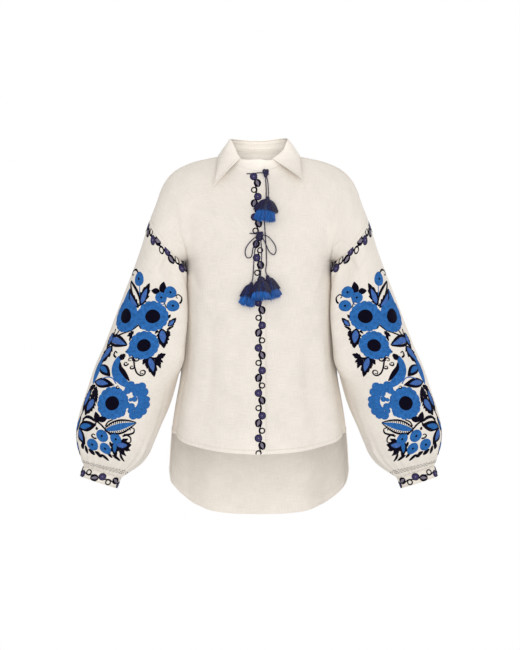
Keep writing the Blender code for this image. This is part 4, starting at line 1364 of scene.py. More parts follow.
def leaf_half(side, start, point):
    """Half of the leaf's outer face. It rolls over the stand's upper edge and falls to its edge."""
    count = round((180 - start) / LEAF_FINE_STEP) + 1
    angles = np.linspace(start, 180, count)
    shares = (angles - start) / (180 - start)
    fold = neck(side * angles, 1.0)
    outwards = unit(fold * np.array([1, 1, 0]))
    edge_shares = np.concatenate([[0], LEAF_EDGE["share"]])
    edge = [
        curve(shares, edge_shares, np.concatenate([[first], LEAF_EDGE[axis]]))
        for axis, first in zip("xyz", point)
    ]
    edge = np.stack(edge, -1) * mirror(side)
    up = np.array([0, 0, 1])
    outward, lift = LEAF_ROLL["outward"], LEAF_ROLL["lift"]
    crest = fold + outwards * outward[-1] + up * LEAF_LIFT
    rows = []
    for turn in np.linspace(0, math.pi / 2, LEAF_ROLL_ROWS):
        across = outward[-1] * (1 - math.cos(turn)) if turn else 0.0
        height = lift[0] - (lift[0] - LEAF_LIFT) * (1 - math.cos(turn * 0.98))
        rows.append(fold + outwards * across + up * height)
    rows[-1] = crest
    for fall in np.arange(1, LEAF_ROWS) / (LEAF_ROWS - 1):
        bow = outwards * LEAF_BOW * math.sin(math.pi * fall)
        rows.append(crest + (edge - crest) * fall + bow)
    return np.array(rows)


def build_leaf(linen):
    right = leaf_half(-1, LEAF_START_RIGHT, LEAF_POINT_RIGHT)
    left = leaf_half(1, LEAF_START_LEFT, LEAF_POINT_LEFT)
    outer = np.concatenate([right, left[:, -2::-1]], axis=1)
    inward = inward_of(outer, np.array([0, 0, -60]))
    inward[0] = unit(inward[0] * np.array([0.4, 0.4, 0]) + np.array([0, 0, -1]))
    middle = right.shape[1] - 1
    return cloth_wall("collar_leaf", outer, outer + inward * CLOTH, linen, seam=middle), outer, inward


# Shades of the threads, and one dark brown of painted shade.
VIOLET = (0.060, 0.145, 0.42)
SLATE = (0.050, 0.042, 0.115)
MAUVE = (0.20, 0.175, 0.225)
# Painted shade: the drawn thread's dark brown stands for the shadow inside the openwork holes of the drawn
# threadwork.
OPENWORK_SHADE = (0.075, 0.062, 0.05)
CREAM_THREAD = (0.68, 0.60, 0.50)
THREADS = {"navy": NAVY, "slate": SLATE, "mauve": MAUVE, "drawn": OPENWORK_SHADE, "blue": BLUE, "violet": VIOLET}
DARK_THREADS = ("navy", "slate", "mauve", "drawn")
BLUE_THREADS = ("blue", "violet")

# How far each kind of stitching stands up from the cloth. The drawn one is the dashes of painted shade.
RISE = dict(
    line=0.8, blade=0.5, laid_blade=0.95, berry=0.6, berry_eye=1.1, petals=0.62, heart=0.95,
    small_flower=0.6, small_rim=0.75, small_eye=0.85, stem=0.6, edge_stem=0.4, edge_petal=0.55,
    half_leaf=0.75, bud=0.8, fan=0.55, fan_lobe=0.66, drawn=0.45,
)
SINK = -0.35  # how deep the rim of a stitched shape goes into the cloth
BAND_ACROSS = np.array([-1, -0.82, -0.4, 0, 0.4, 0.82, 1])
BAND_RISE = np.array([0, 0.72, 0.97, 1, 0.97, 0.72, 0])
DISC_SHARES = np.array([0.0, 0.03, 0.25, 0.5, 0.75, 0.9, 0.97, 1.0])  # from its middle to its rim
LINE_HALF = 1.25  # half the width of a stitched line
LEAST_HALF = 0.15  # of a blade at its ends
LEAST_SHOWN = 0.5  # of a shape's width, where the cloth turns away from the front
UPRIGHT = ((1.0, 0.0), (0.0, 1.0))
BLADE_SHARE = 0.56  # of a toothed or striped leaf's width
INNER_BLADE_SHARE = 0.72  # of an outlined leaf's width
RING_LAP = 0.4  # how far a ring's end laps over its start, in radians
FLOWER_LOBES = 15
# The parts of a garland: the offset of each from its line, then sizes.
GARLAND_OFFSET = 3.9
GARLAND_STEM_OFFSET = 0.62  # of that of the other parts
GARLAND_STEM_HALF = 1.35
GARLAND_RING = (5.3, 1.45)  # radius and half the line's width
GARLAND_FLOWER = 8.4
GARLAND_LEAF = (8.2, 3.0, 5.6)  # half its reach along and aside, and half its width
GARLAND_LEAF_LINE = 2.0


def leaf_width(shares):
    """The share of its greatest half width that a leaf has along its length."""
    return np.sin(math.pi * np.clip(shares, 0, 1) ** 0.85) ** 0.9


def blade_width(half):
    """A leaf's half width along its length, as a function of the share."""
    return lambda shares: np.maximum(half * leaf_width(shares), LEAST_HALF)


def leaf_middle(base, tip, bend, across):
    """The middle line of a leaf and the direction of its width."""
    run = tip - base
    side = sideways(run) if across is None else across
    shares = np.linspace(0, 1, 13)
    return base + run * shares[:, None] + side * (bend * np.sin(math.pi * shares))[:, None], side


class Embroidery:
    """Raised stitching, drawn flat in millimetres and then laid on the cloth."""

    def __init__(self):
        self.grids = []

    def add(self, flat, rise, places, thread, closed=False):
        self.grids.append((flat, np.broadcast_to(rise, flat.shape[:2]), places, thread, closed))

    def band(self, line, half_width, thread, rise=RISE["line"], step=1.6, across=None):
        """A line of satin stitches that lie across it, or along a given direction."""
        line = resample(line, step)
        count = len(line)
        if callable(half_width):
            half = half_width(np.linspace(0, 1, count))
        else:
            ends = np.minimum(np.arange(count), np.arange(count)[::-1])
            half = half_width * np.where(ends == 0, 0.45, 1.0)
        if across is None:
            along = unit(np.gradient(line, axis=0))
            across = np.stack([-along[:, 1], along[:, 0]], -1)
        else:
            across = np.broadcast_to(across, (count, 2))
        offset = half[:, None] * BAND_ACROSS
        flat = line[:, None] + across[:, None] * offset[..., None]
        height = np.where(BAND_RISE > 0, BAND_RISE * rise, SINK)
        height = np.repeat(height[None], count, axis=0) * np.clip(half / 0.7, 0.35, 1)[:, None]
        height[[0, -1]] = SINK
        places = np.stack(np.broadcast_arrays(offset, walked(line)[:, None]), -1)
        self.add(flat, height, places, thread)

    def disc(self, centre, radius, thread, rise, sides, inner=0.0, lobes=0, lobe_depth=0.0, turn=0.0,
             dome=0.25, shape=UPRIGHT):
        """A round of satin stitches that run outwards, with a scalloped rim where it has lobes."""
        angle = np.arange(sides) * 2 * math.pi / sides
        rim = np.full(sides, float(radius))
        if lobes:
            wave = np.abs(np.sin(lobes * (angle + turn) / 2))
            rim *= 1 - lobe_depth * (1 - wave**0.7)
        reach = inner + (rim - inner) * DISC_SHARES[:, None]
        flat = np.asarray(centre) + (circle(angle) @ np.asarray(shape).T) * reach[..., None]
        height = rise * (1 + dome * np.sin(math.pi * DISC_SHARES))
        height[0] = rise if inner == 0 else SINK
        height[-1] = SINK
        height[-2] = rise * 0.6
        turned = np.arange(sides + 1) / sides * 2 * math.pi * radius * 0.8
        wide_reach = np.hstack([reach, reach[:, :1]])
        places = np.stack(np.broadcast_arrays(wide_reach, turned), -1)
        self.add(flat, height[:, None], places, thread, closed=True)

    def leaf(self, base, tip, half_width, fill, outline="navy", bend=0.0, thick=LINE_HALF, across=None):
        """A pointed leaf: a filled blade inside an outline that swells towards its middle."""
        middle, side = leaf_middle(base, tip, bend, across)
        edge = half_width * leaf_width(np.linspace(0, 1, len(middle)))[:, None]
        if fill:
            share = 1.0 if outline is None else INNER_BLADE_SHARE
            self.band(middle, blade_width(half_width * share), fill, RISE["blade"], across=side)
        if outline:

            def swell(shares):
                return thick * (0.5 + 0.8 * np.sin(math.pi * shares) ** 0.8)

            for way in (-1, 1):
                self.band(middle + side * way * edge, swell, outline)

    def toothed_leaf(self, base, tip, half_width, fill, bend, teeth, across):
        """A dark leaf whose edges run in teeth, with a lighter blade laid on its lower part."""
        middle, side = leaf_middle(base, tip, bend, across)

        def width(shares):
            tooth = 0.82 + 0.36 * np.mod(shares * teeth, 1) if teeth else 1.0
            return np.maximum(half_width * tooth * leaf_width(shares), LEAST_HALF)

        self.band(middle, width, "navy", RISE["blade"], step=0.9, across=side)
        if fill:
            blade = blade_width(half_width * BLADE_SHARE)
            self.band(middle[1:-3], blade, fill, RISE["laid_blade"], across=side)

    def berry(self, centre, radius, shape):
        self.disc(centre, radius, "blue", RISE["berry"], 28, dome=0.5, shape=shape)
        self.disc(centre, radius * 0.2, "navy", RISE["berry_eye"], 10, shape=shape)

    def flower(self, centre, radius, heart, turn, shape):
        """A scalloped flower of radial stitches round a dark domed heart."""
        self.disc(centre, radius, "blue", RISE["petals"], FLOWER_LOBES * 8, inner=heart * 0.8,
                  lobes=FLOWER_LOBES, lobe_depth=0.07, turn=turn, dome=0.35, shape=shape)
        self.disc(centre, heart, "navy", RISE["heart"], 40, dome=0.2, shape=shape)

    def small_flower(self, centre, radius, turn):
        """A dark round flower of five petals with a pale middle."""
        self.disc(centre, radius, "slate", RISE["small_flower"], 40, lobes=5, lobe_depth=0.12, turn=turn)
        rim = circle(np.linspace(0, 2 * math.pi, 25)) * radius * 0.86
        self.band(centre + rim, 1.1, "navy", RISE["small_rim"])
        self.disc(centre, radius * 0.2, "mauve", RISE["small_eye"], 12)

    def ring(self, centre, radius, half):
        rim = circle(np.linspace(-RING_LAP, 2 * math.pi + RING_LAP, 29)) * radius
        self.band(centre + rim, half, "navy")

    def curl(self, line, half):
        def taper(share):
            return half * (0.55 + 0.45 * np.sin(math.pi * np.minimum(share + 0.25, 1)))

        self.band(line, taper, "navy")

    def spiral(self, centre, radius, start, turns, half):
        """A tendril's end, wound inwards."""
        share = np.linspace(0, 1, max(8, int(14 * abs(turns))))
        angle = np.radians(start) + share * turns * 2 * math.pi
        reach = radius * (1 - 0.72 * share)
        self.curl(centre + circle(angle) * reach[:, None], half)

    def garland(self, line, first, flip=1, step=16.0, scale=1.0):
        """Rings, flowers and leaves in turn, on alternate sides of a winding stem."""
        line = resample(line, step)
        along = unit(np.gradient(line, axis=0))
        across = np.stack([-along[:, 1], along[:, 0]], -1)
        stem = []
        for number, (centre, ahead, aside) in enumerate(zip(line, along, across)):
            side = flip * (1 if number % 2 else -1)
            spot = centre + aside * side * GARLAND_OFFSET * scale
            stem.append(centre - aside * side * GARLAND_OFFSET * GARLAND_STEM_OFFSET * scale)
            kind = (number + first) % 3
            if kind == 0:
                self.ring(spot, *(size * scale for size in GARLAND_RING))
            elif kind == 1:
                self.small_flower(spot, GARLAND_FLOWER * scale, number)
            else:
                reach, reach_aside, half = (size * scale for size in GARLAND_LEAF)
                lean = ahead * reach + aside * side * reach_aside
                self.leaf(spot - lean, spot + lean, half, "mauve", thick=GARLAND_LEAF_LINE * scale)
        self.band(stem, GARLAND_STEM_HALF * scale, "navy", RISE["stem"])

    def lay(self, name, ground, threads, materials, slot):
        """Build the shapes of some threads as one piece on the cloth."""
        chosen = [grid for grid in self.grids if grid[3] in threads]
        points, normals = ground(np.concatenate([grid[0].reshape(-1, 2) for grid in chosen]))
        points = points + normals * np.concatenate([grid[1].ravel() for grid in chosen])[:, None]
        mesh = Mesh()
        start = 0
        used = [thread for thread in threads if any(grid[3] == thread for grid in chosen)]
        for grid, _, places, thread, closed in chosen:
            size = grid.shape[0] * grid.shape[1]
            shape = points[start : start + size].reshape(*grid.shape[:2], 3)
            flip = not turned_out(shape, normals[start])
            mesh.grid(shape, places, used.index(thread), closed, flip)
            start += size
        piece = mesh.build(name, [materials[thread] for thread in used], sharp=80)
        return piece


def turned_out(shape, normal):
    """Whether a grid's faces look along a normal."""
    total = np.zeros(3)
    for row in range(shape.shape[0] - 1):
        a = shape[row, 1:] - shape[row, :-1]
        b = shape[row + 1, :-1] - shape[row, :-1]
        total += np.cross(a, b).sum(axis=0)
    return total @ normal > 0


HALVINGS = 18  # of the ring, to find the angle at a distance round it
OUTER_COLUMN = 180  # of the flat sleeve, which has a column for each degree
FRONT_COLUMN = 270
SHAPE_REACH = 4  # rows and columns either side, over which a drawn shape is measured


class SleeveGround:
    """The sleeve as flat cloth: how far round it from its outer side, and how far down it."""

    def __init__(self, side):
        self.side = side
        self.places = np.linspace(0.0, 13.0, 261)
        self.thetas = np.linspace(-180, 180, 361)
        points = sleeve_surface(self.places[:, None], self.thetas, gathered=False)
        around = walked(points)
        self.around = around - around[:, OUTER_COLUMN, None]
        self.down = walked(points[:, FRONT_COLUMN])
        self.points = points

    def at(self, x, drop, behind=False):
        """The flat place that shows at x and drop in the front view, or behind it on the far side."""
        half = slice(0, OUTER_COLUMN + 1) if behind else slice(OUTER_COLUMN, None)
        seen = self.points[:, half]
        distance = np.hypot(seen[..., 0] - abs(x), seen[..., 2] + drop)
        row, column = np.unravel_index(np.argmin(distance), distance.shape)
        return np.array([self.around[row, half][column], self.down[row]])

    def shape(self, flat):
        """How offsets right and down in the front view are drawn at a flat place."""
        reach = SHAPE_REACH
        row = np.argmin(np.abs(self.down - flat[1]))
        row = int(np.clip(row, reach, len(self.down) - 1 - reach))
        column = np.argmin(np.abs(self.around[row] - flat[0]))
        column = int(np.clip(column, reach, self.around.shape[1] - 1 - reach))
        seen = self.points[..., [0, 2]]
        by_around = seen[row, column + reach] - seen[row, column - reach]
        by_around = by_around / (self.around[row, column + reach] - self.around[row, column - reach])
        by_down = seen[row + reach, column] - seen[row - reach, column]
        by_down = by_down / (self.down[row + reach] - self.down[row - reach])
        left, sizes, right = np.linalg.svd(-np.stack([by_around, by_down], -1))
        return (right.T / np.clip(sizes, LEAST_SHOWN, 1.0)) @ left.T

    def __call__(self, flat):
        place = np.interp(flat[:, 1], self.down, self.places)
        low, high = np.full(len(flat), -180.0), np.full(len(flat), 180.0)
        row = np.clip(place / (self.places[1] - self.places[0]), 0, len(self.places) - 1.001)
        row_low = row.astype(int)
        row_share = row - row_low
        for _ in range(HALVINGS):
            theta = (low + high) / 2
            column = np.clip(theta + 180, 0, 359.999)
            left = column.astype(int)
            share = column - left
            around = [
                self.around[row, left] * (1 - share) + self.around[row, left + 1] * share
                for row in (row_low, row_low + 1)
            ]
            reached = around[0] * (1 - row_share) + around[1] * row_share
            low = np.where(reached < flat[:, 0], theta, low)
            high = np.where(reached < flat[:, 0], high, theta)
        points = sleeve_surface(place, theta)
        by_theta = sleeve_surface(place, theta + 0.5) - sleeve_surface(place, theta - 0.5)
        by_place = sleeve_surface(place + 0.02, theta) - sleeve_surface(place - 0.02, theta)
        front, back = (
            ring_point(section_at(SLEEVE, place, angle), angle)
            for angle in (np.full_like(theta, 90.0), np.full_like(theta, -90.0))
        )
        normals = facing(np.cross(by_theta, by_place), points - (front + back) / 2)
        return points * mirror(self.side), normals * mirror(self.side)


CUFF_LENGTH = 24.5


def cuff_ground(side):
    """The cuff as flat cloth: how far round it from its outer side, and how far down it."""
    thetas = np.linspace(-180, 180, 361)
    ring = cuff_surface(1.0, thetas)
    around = walked(ring)
    around -= around[180]

    def ground(flat):
        theta = np.interp(flat[:, 0], around, thetas)
        row = np.clip(flat[:, 1] / CUFF_LENGTH * 2, 0.02, 1.98)
        points = cuff_surface(row, theta)
        by_theta = cuff_surface(row, theta + 1) - cuff_surface(row, theta - 1)
        by_row = cuff_surface(row + 0.02, theta) - cuff_surface(row - 0.02, theta)
        middle = (cuff_surface(row, theta * 0) + cuff_surface(row, theta * 0 + 180)) / 2
        normals = facing(np.cross(by_theta, by_row), points - middle)
        return points * mirror(side), normals * mirror(side)

    return ground, around[0], around[-1]


def front_ground(grids):
    """The fronts as they are seen: across towards the wearer's left, and the drop."""
    points = []
    faces = []
    for outer, _ in grids.values():
        corners, _ = grid_faces(*outer.shape[:2], False)
        faces.extend((corners + len(points)).tolist())
        points.extend(outer.reshape(-1, 3).tolist())
    tree = BVHTree.FromPolygons(points, faces)

    def ground(flat):
        found = []
        normals = []
        for across, down in flat:
            spot, normal, _, _ = tree.ray_cast(Vector((across, -500, -down)), Vector((0, 1, 0)))
            if spot is None:
                spot, normal, _, _ = tree.find_nearest(Vector((across, -130, -down)))
            found.append(spot)
            normals.append(normal if normal.y < 0 else -normal)
        return np.array(found), np.array(normals)

    return ground


# The bouquet of a sleeve, as it shows on the wearer's right sleeve from the front. Places are steps of
# 2.15 mm across and down in the view, from its upper left corner, and sizes are in those steps too.
STEP = 2.15
VIEW_MIDDLE = 259.0
VIEW_TOP = 157.0

FLOWERS = (
    # across, down, half width, half height, half height of its heart, turn
    (154.3, 316.2, 15.3, 15.3, 7.1, 0.1),
    (127.2, 316.4, 11.6, 15.6, 7.1, 0.4),
    (145.4, 345.3, 15.2, 14.9, 6.7, 0.2),
    (114.5, 402.6, 15.0, 15.8, 7.1, 0.0),
)
BERRIES = (
    # across, down, half width, half height
    (140.2, 279.2, 4.5, 6.4), (171.5, 292.8, 5.7, 5.7), (162.2, 298.0, 5.4, 5.3),
    (174.1, 305.8, 5.8, 5.8), (104.0, 434.6, 6.1, 6.2), (94.2, 443.2, 6.0, 5.8),
    (107.4, 446.6, 5.9, 5.6), (117.6, 437.6, 5.4, 6.2),
)
TOOTHED_LEAVES = (
    # base across and down, tip across and down, half width, bend, blade, teeth
    (142.2, 305.6, 150.8, 283.6, 4.7, -0.8, "violet", 4),
    (139.9, 307.8, 130.6, 288.0, 3.9, -0.9, "violet", 5),
    (168.6, 326.0, 176.8, 318.0, 3.3, 0.3, "violet", 2),
    (167.4, 329.4, 175.2, 326.4, 1.5, 0.0, None, 2),
    (162.8, 328.4, 164.8, 348.4, 6.0, 0.0, "violet", 5),
    (168.6, 329.6, 168.2, 339.0, 2.2, -0.8, None, 3),
    (150.6, 355.6, 155.6, 376.4, 5.2, -0.4, "violet", 4),
    (158.0, 357.6, 167.0, 353.2, 3.4, 0.2, None, 3),
    (156.6, 358.4, 161.6, 367.4, 2.4, -0.6, None, 3),
    (158.0, 357.4, 164.4, 362.4, 2.0, 0.0, None, 2),
    (150.0, 357.6, 144.4, 364.4, 2.8, 0.6, None, 3),
    (149.4, 358.6, 148.6, 368.0, 2.2, 0.4, None, 3),
    (113.8, 345.6, 101.2, 365.0, 4.2, 0.6, "violet", 4),
    (101.4, 364.6, 112.2, 375.2, 5.0, -0.8, "blue", 0),
    (96.4, 380.8, 116.8, 385.0, 5.2, -0.4, "violet", 0),
    (96.6, 396.6, 86.6, 414.4, 5.4, 0.2, "violet", 6),
    (80.8, 426.4, 98.6, 423.4, 5.9, 0.2, "blue", 0),
    (80.8, 426.0, 86.8, 443.6, 4.0, 0.3, "violet", 0),
    (116.8, 443.0, 133.0, 442.8, 5.4, 0.3, "violet", 5),
    (117.6, 438.0, 118.4, 456.4, 4.6, 0.0, "blue", 3),
    (119.6, 444.0, 127.8, 454.4, 3.9, 0.2, None, 4),
    (121.0, 444.0, 132.4, 449.0, 3.0, 0.4, None, 4),
    (122.0, 441.6, 130.4, 437.0, 2.2, -0.4, None, 3),
    (97.2, 383.6, 90.4, 391.4, 2.4, 0.6, None, 3),
    (98.6, 386.0, 91.8, 399.6, 2.6, -0.6, None, 4),
    (93.4, 386.4, 89.6, 397.0, 2.0, 0.4, None, 3),
    (99.0, 389.0, 98.2, 403.0, 1.9, 0.5, None, 5),
    (135.6, 331.0, 128.8, 336.2, 2.2, -0.4, None, 3),
    (133.4, 334.0, 130.6, 341.0, 1.5, 0.0, None, 2),
)
OPEN_LEAVES = (
    # base across and down, tip across and down, half width, bend, fill
    (141.0, 306.0, 131.8, 281.2, 2.7, 1.4, None),
    (110.6, 338.8, 129.0, 345.4, 4.5, -0.6, "violet"),
    (84.0, 423.6, 99.0, 420.6, 5.6, -1.0, None),
)
SOLID_LEAVES = (
    # base across and down, tip across and down, half width
    (161.4, 292.2, 152.4, 291.0, 3.2), (162.6, 294.0, 165.2, 282.0, 3.7),
    (168.6, 318.4, 172.2, 314.6, 1.6), (159.8, 330.6, 155.6, 333.4, 1.4),
    (100.4, 420.2, 97.6, 409.8, 3.4), (100.6, 419.4, 110.6, 415.4, 3.3),
    (98.8, 420.0, 91.4, 416.0, 1.4), (84.8, 448.0, 84.2, 439.6, 1.8),
    (90.6, 452.6, 86.6, 444.0, 2.6), (97.8, 453.0, 90.4, 447.2, 2.7),
    (104.4, 455.6, 96.8, 449.4, 2.8), (110.8, 458.2, 102.4, 453.0, 2.9),
    (114.4, 456.2, 108.6, 450.2, 2.6), (122.6, 458.8, 113.8, 453.4, 2.6),
    (126.2, 460.6, 121.6, 450.4, 2.4), (111.6, 440.0, 114.6, 446.6, 1.7),
    (99.8, 428.6, 98.6, 425.0, 1.6), (143.2, 329.6, 140.4, 323.4, 1.1),
)
STEMS = (
    # thickness, thread, then across and down of each point
    (1.0, "navy", (140.6, 324.4), (133.0, 329.8), (126.4, 332.8), (119.6, 335.2), (113.0, 337.6)),
    (1.0, "navy", (121.4, 329.4), (118.6, 332.6), (115.2, 336.8)),
    (1.0, "navy", (117.0, 328.6), (115.6, 334.0), (113.0, 340.4), (109.4, 346.0)),
    (0.6, "blue", (141.0, 285.0), (141.2, 292.0), (140.8, 304.6)),
    (0.6, "blue", (167.6, 296.6), (167.0, 300.0), (165.6, 303.4), (163.0, 305.6)),
    (0.8, "navy", (170.6, 308.4), (167.8, 307.2), (165.4, 304.0), (164.8, 302.0)),
    (1.0, "navy", (127.0, 350.4), (131.0, 351.6), (134.2, 355.4), (136.0, 361.0), (136.8, 367.0),
     (139.4, 373.2), (143.4, 375.4)),
    (1.15, "navy", (98.2, 419.4), (102.6, 423.0), (107.4, 427.8), (113.2, 434.0)),
    (0.9, "navy", (84.0, 418.4), (88.4, 416.8), (94.0, 417.8), (98.4, 420.6)),
    (0.7, "violet", (103.0, 378.6), (108.6, 376.6), (114.0, 378.0), (118.2, 382.8)),
    (1.0, "navy", (107.6, 425.0), (110.0, 420.6), (115.0, 418.0)),
    (3.0, "blue", (128.0, 349.6), (131.4, 352.6), (133.0, 356.0)),
    (1.3, "navy", (149.6, 356.6), (156.0, 357.6), (162.0, 355.6)),
)
# Petals that lap round the outer edge of the sleeve.
EDGE_PETALS = (
    # greatest half width in millimetres, then across and down of each point
    (10.5, (107.0, 352.0), (102.0, 362.0), (98.4, 371.0), (94.6, 384.0)),
    (12.0, (117.0, 326.0), (122.6, 313.0), (127.0, 301.0), (130.6, 289.0)),
)
EDGE_LEAVES = (
    # base across and down, tip across and down, half width, blade, teeth
    (114.8, 331.6, 107.6, 349.4, 2.7, "violet", 5),
    (92.4, 388.0, 84.0, 410.6, 2.7, "violet", 6),
    (82.6, 415.0, 77.2, 434.6, 2.9, "blue", 0),
    (77.4, 439.6, 79.4, 455.6, 2.1, "violet", 4),
)
EDGE_STEM = ((95.0, 384.0), (86.0, 408.0), (82.2, 416.0), (77.0, 434.0), (77.4, 441.0))
CURLS = (
    # across and down of each point
    ((139.2, 273.4), (138.0, 270.8), (135.8, 269.8), (133.8, 272.0), (133.2, 275.6), (135.0, 274.6)),
    ((180.0, 304.4), (182.2, 301.4), (182.4, 297.6), (179.8, 295.0), (177.0, 296.6), (178.6, 299.2)),
    ((99.2, 436.8), (95.6, 436.6), (93.8, 434.2), (95.4, 432.2), (97.8, 433.8)),
    ((125.4, 433.2), (131.0, 433.0), (135.6, 430.6), (135.8, 427.4), (132.6, 426.8), (132.4, 429.4)),
    ((124.2, 434.6), (129.2, 433.8), (132.4, 436.6), (132.0, 440.4), (128.6, 441.2)),
    ((118.0, 357.6), (116.0, 354.0), (117.2, 350.6), (119.4, 352.4)),
)
SPIRALS = (
    # across, down, radius in steps, start in degrees, turns
    (127.6, 362.4, 2.5, -20.0, 1.1),
    (132.2, 359.6, 2.6, 20.0, -1.1),
    (138.8, 358.6, 2.6, 170.0, -1.1),
    (133.6, 366.4, 2.3, -10.0, 1.0),
    (144.0, 371.6, 3.6, 130.0, -1.35),
    (119.4, 385.8, 2.0, 0.0, 1.0),
)
CRESCENT = ((122.6, 356.0), (119.0, 361.0), (117.6, 368.0), (119.6, 375.0), (124.4, 380.6), (131.0, 385.6))
CRESCENT_HALF = 5.0
HALF_LEAF = ((122.2, 361.6), (122.6, 366.0), (125.4, 371.6), (128.4, 375.6), (131.6, 380.6))
# A ruffled fan of open stitching beside the lowest flower.
FAN_ARC = (
    (128.0, 384.6), (134.0, 386.4), (139.6, 389.4), (143.6, 394.8), (143.8, 401.6), (141.0, 407.6),
    (136.6, 411.0),
)
FAN_HALF = 4.9
FAN_LOBES = (
    # across, down, radius
    (132.6, 384.8, 4.0), (138.4, 386.4, 3.8), (143.4, 385.4, 4.4), (145.8, 390.6, 4.2),
    (148.8, 398.0, 3.2), (147.2, 403.6, 4.2), (144.4, 409.4, 4.2), (140.0, 413.6, 4.0),
    (135.2, 413.6, 4.2), (132.6, 409.6, 2.8), (133.2, 404.8, 3.4), (128.6, 404.0, 3.4),
    (136.6, 397.6, 2.8), (137.4, 391.8, 3.2), (129.8, 389.8, 2.9), (126.4, 391.4, 2.8),
    (132.6, 398.6, 1.9), (127.2, 397.0, 2.8), (124.0, 411.6, 3.2),
)
STRIPED_LEAF = ((107.0, 428.4), (138.0, 420.8))
STRIPED_HALF = 6.6
HALF_LEAF_HALF = 2.5
BUD = (124.4, 356.4)
BUD_RADIUS = 3.5
# Half the thickness of the lines, in millimetres.
STEM_HALF = 1.8  # of a stem whose thickness is 1
CURL_HALF = 2.2
SPIRAL_HALF = 1.8
EDGE_STEM_HALF = 1.8
OPEN_LEAF_LINE = 2.5
STRIPED_LEAF_LINE = 1.7
STRIPES = np.linspace(0.12, 0.86, 13)  # shares of the striped leaf's length
STRIPE_LEAN = 0.035
STRIPE_HALF = 1.0

# The sleeve's outer edge in the view, as across and down. Behind it the bouquet goes on as its mirror
# image, as far round as the reach.
OUTER_EDGE = table(
    "across down", (147, 262), (135, 290), (116, 330), (98, 372), (84, 410), (77, 436), (80, 460),
)
BACK_REACH = 27.0
STEMS_FROM_EDGE = 4.0  # a stem nearer to the edge than this is left out behind it


def past_edge(across, down):
    """How far in from the sleeve's outer edge a place of the view lies."""
    return across - np.interp(down, OUTER_EDGE["down"], OUTER_EDGE["across"])


def crescent_width(share):
    rounded = np.sin(math.pi * np.clip(share * 0.9 + 0.05, 0, 1)) ** 0.8
    return CRESCENT_HALF * STEP * (0.35 + 0.65 * rounded)


def petal_width(half):
    """A petal's half width along its length, as a function of the share."""
    return lambda share: half * np.maximum(np.sin(math.pi * share) ** 0.7, 0.06)


def half_leaf_width(share):
    return HALF_LEAF_HALF * STEP * (0.25 + 0.75 * np.sin(math.pi * share))


def draw_bouquet(ground, behind):
    """The bouquet, flat on the front of the sleeve, or mirrored on its back."""
    sewn = Embroidery()

    def at(across, down):
        return ground.at((across - VIEW_MIDDLE) * STEP, (down - VIEW_TOP) * STEP, behind)

    def line(points):
        return [at(*point) for point in points]

    def kept(across, down):
        return not behind or past_edge(across, down) < BACK_REACH

    def rounds(rows):
        """Each round's centre, half height and shape on the sleeve, and the rest of its row."""
        for across, down, wide, high, *rest in rows:
            if kept(across, down):
                centre = at(across, down)
                yield centre, high * STEP, ground.shape(centre) * (wide / high, 1.0), rest

    def leaves(rows):
        """Each leaf's ends, half width, direction of its width, and the rest of its row."""
        for base_x, base_y, tip_x, tip_y, half, *rest in rows:
            if kept((base_x + tip_x) / 2, (base_y + tip_y) / 2):
                base, tip = at(base_x, base_y), at(tip_x, tip_y)
                across = sideways((tip_x - base_x, tip_y - base_y))
                yield base, tip, half * STEP, ground.shape((base + tip) / 2) @ across, rest

    for centre, high, shape, (heart, turn) in rounds(FLOWERS):
        sewn.flower(centre, high, heart * STEP, turn, shape)
    for centre, high, shape, _ in rounds(BERRIES):
        sewn.berry(centre, high, shape)
    for base, tip, half, side, (bend, fill, teeth) in leaves(TOOTHED_LEAVES):
        sewn.toothed_leaf(base, tip, half, fill, bend * STEP, teeth, side)
    for base, tip, half, side, (bend, fill) in leaves(OPEN_LEAVES):
        sewn.leaf(base, tip, half, fill, "navy", bend * STEP, OPEN_LEAF_LINE, side)
    for base, tip, half, side, _ in leaves(SOLID_LEAVES):
        sewn.leaf(base, tip, half, "navy", None, across=side)
    for thickness, thread, *points in STEMS:
        if not behind or all(STEMS_FROM_EDGE < past_edge(*point) < BACK_REACH for point in points):
            sewn.band(line(points), thickness * STEM_HALF, thread, RISE["stem"])
    for points in CURLS:
        if kept(*points[0]):
            sewn.curl(line(points), CURL_HALF)
    if behind:
        return sewn

    # These are drawn on the front alone.
    for across, down, radius, start, turns in SPIRALS:
        sewn.spiral(at(across, down), radius * STEP, start, turns, SPIRAL_HALF)
    for half, *points in EDGE_PETALS:
        sewn.band(line(points), petal_width(half), "blue", RISE["edge_petal"])
    sewn.band(line(EDGE_STEM), EDGE_STEM_HALF, "navy", RISE["edge_stem"])
    for base, tip, half, side, (fill, teeth) in leaves(EDGE_LEAVES):
        sewn.toothed_leaf(base, tip, half, fill, 0.0, teeth, side)
    sewn.band(line(CRESCENT), crescent_width, "blue", RISE["petals"])
    sewn.band(line(HALF_LEAF), half_leaf_width, "navy", RISE["half_leaf"])
    sewn.disc(at(*BUD), BUD_RADIUS * STEP, "navy", RISE["bud"], 24, lobes=3, lobe_depth=0.2)
    sewn.band(line(FAN_ARC), FAN_HALF * STEP, "blue", RISE["fan"])
    for across, down, radius in FAN_LOBES:
        centre = at(across, down)
        shape = ground.shape(centre)
        sewn.disc(centre, radius * STEP, "blue", RISE["fan_lobe"], 24, dome=0.4, shape=shape)
    draw_striped_leaf(sewn, *line(STRIPED_LEAF))
    return sewn


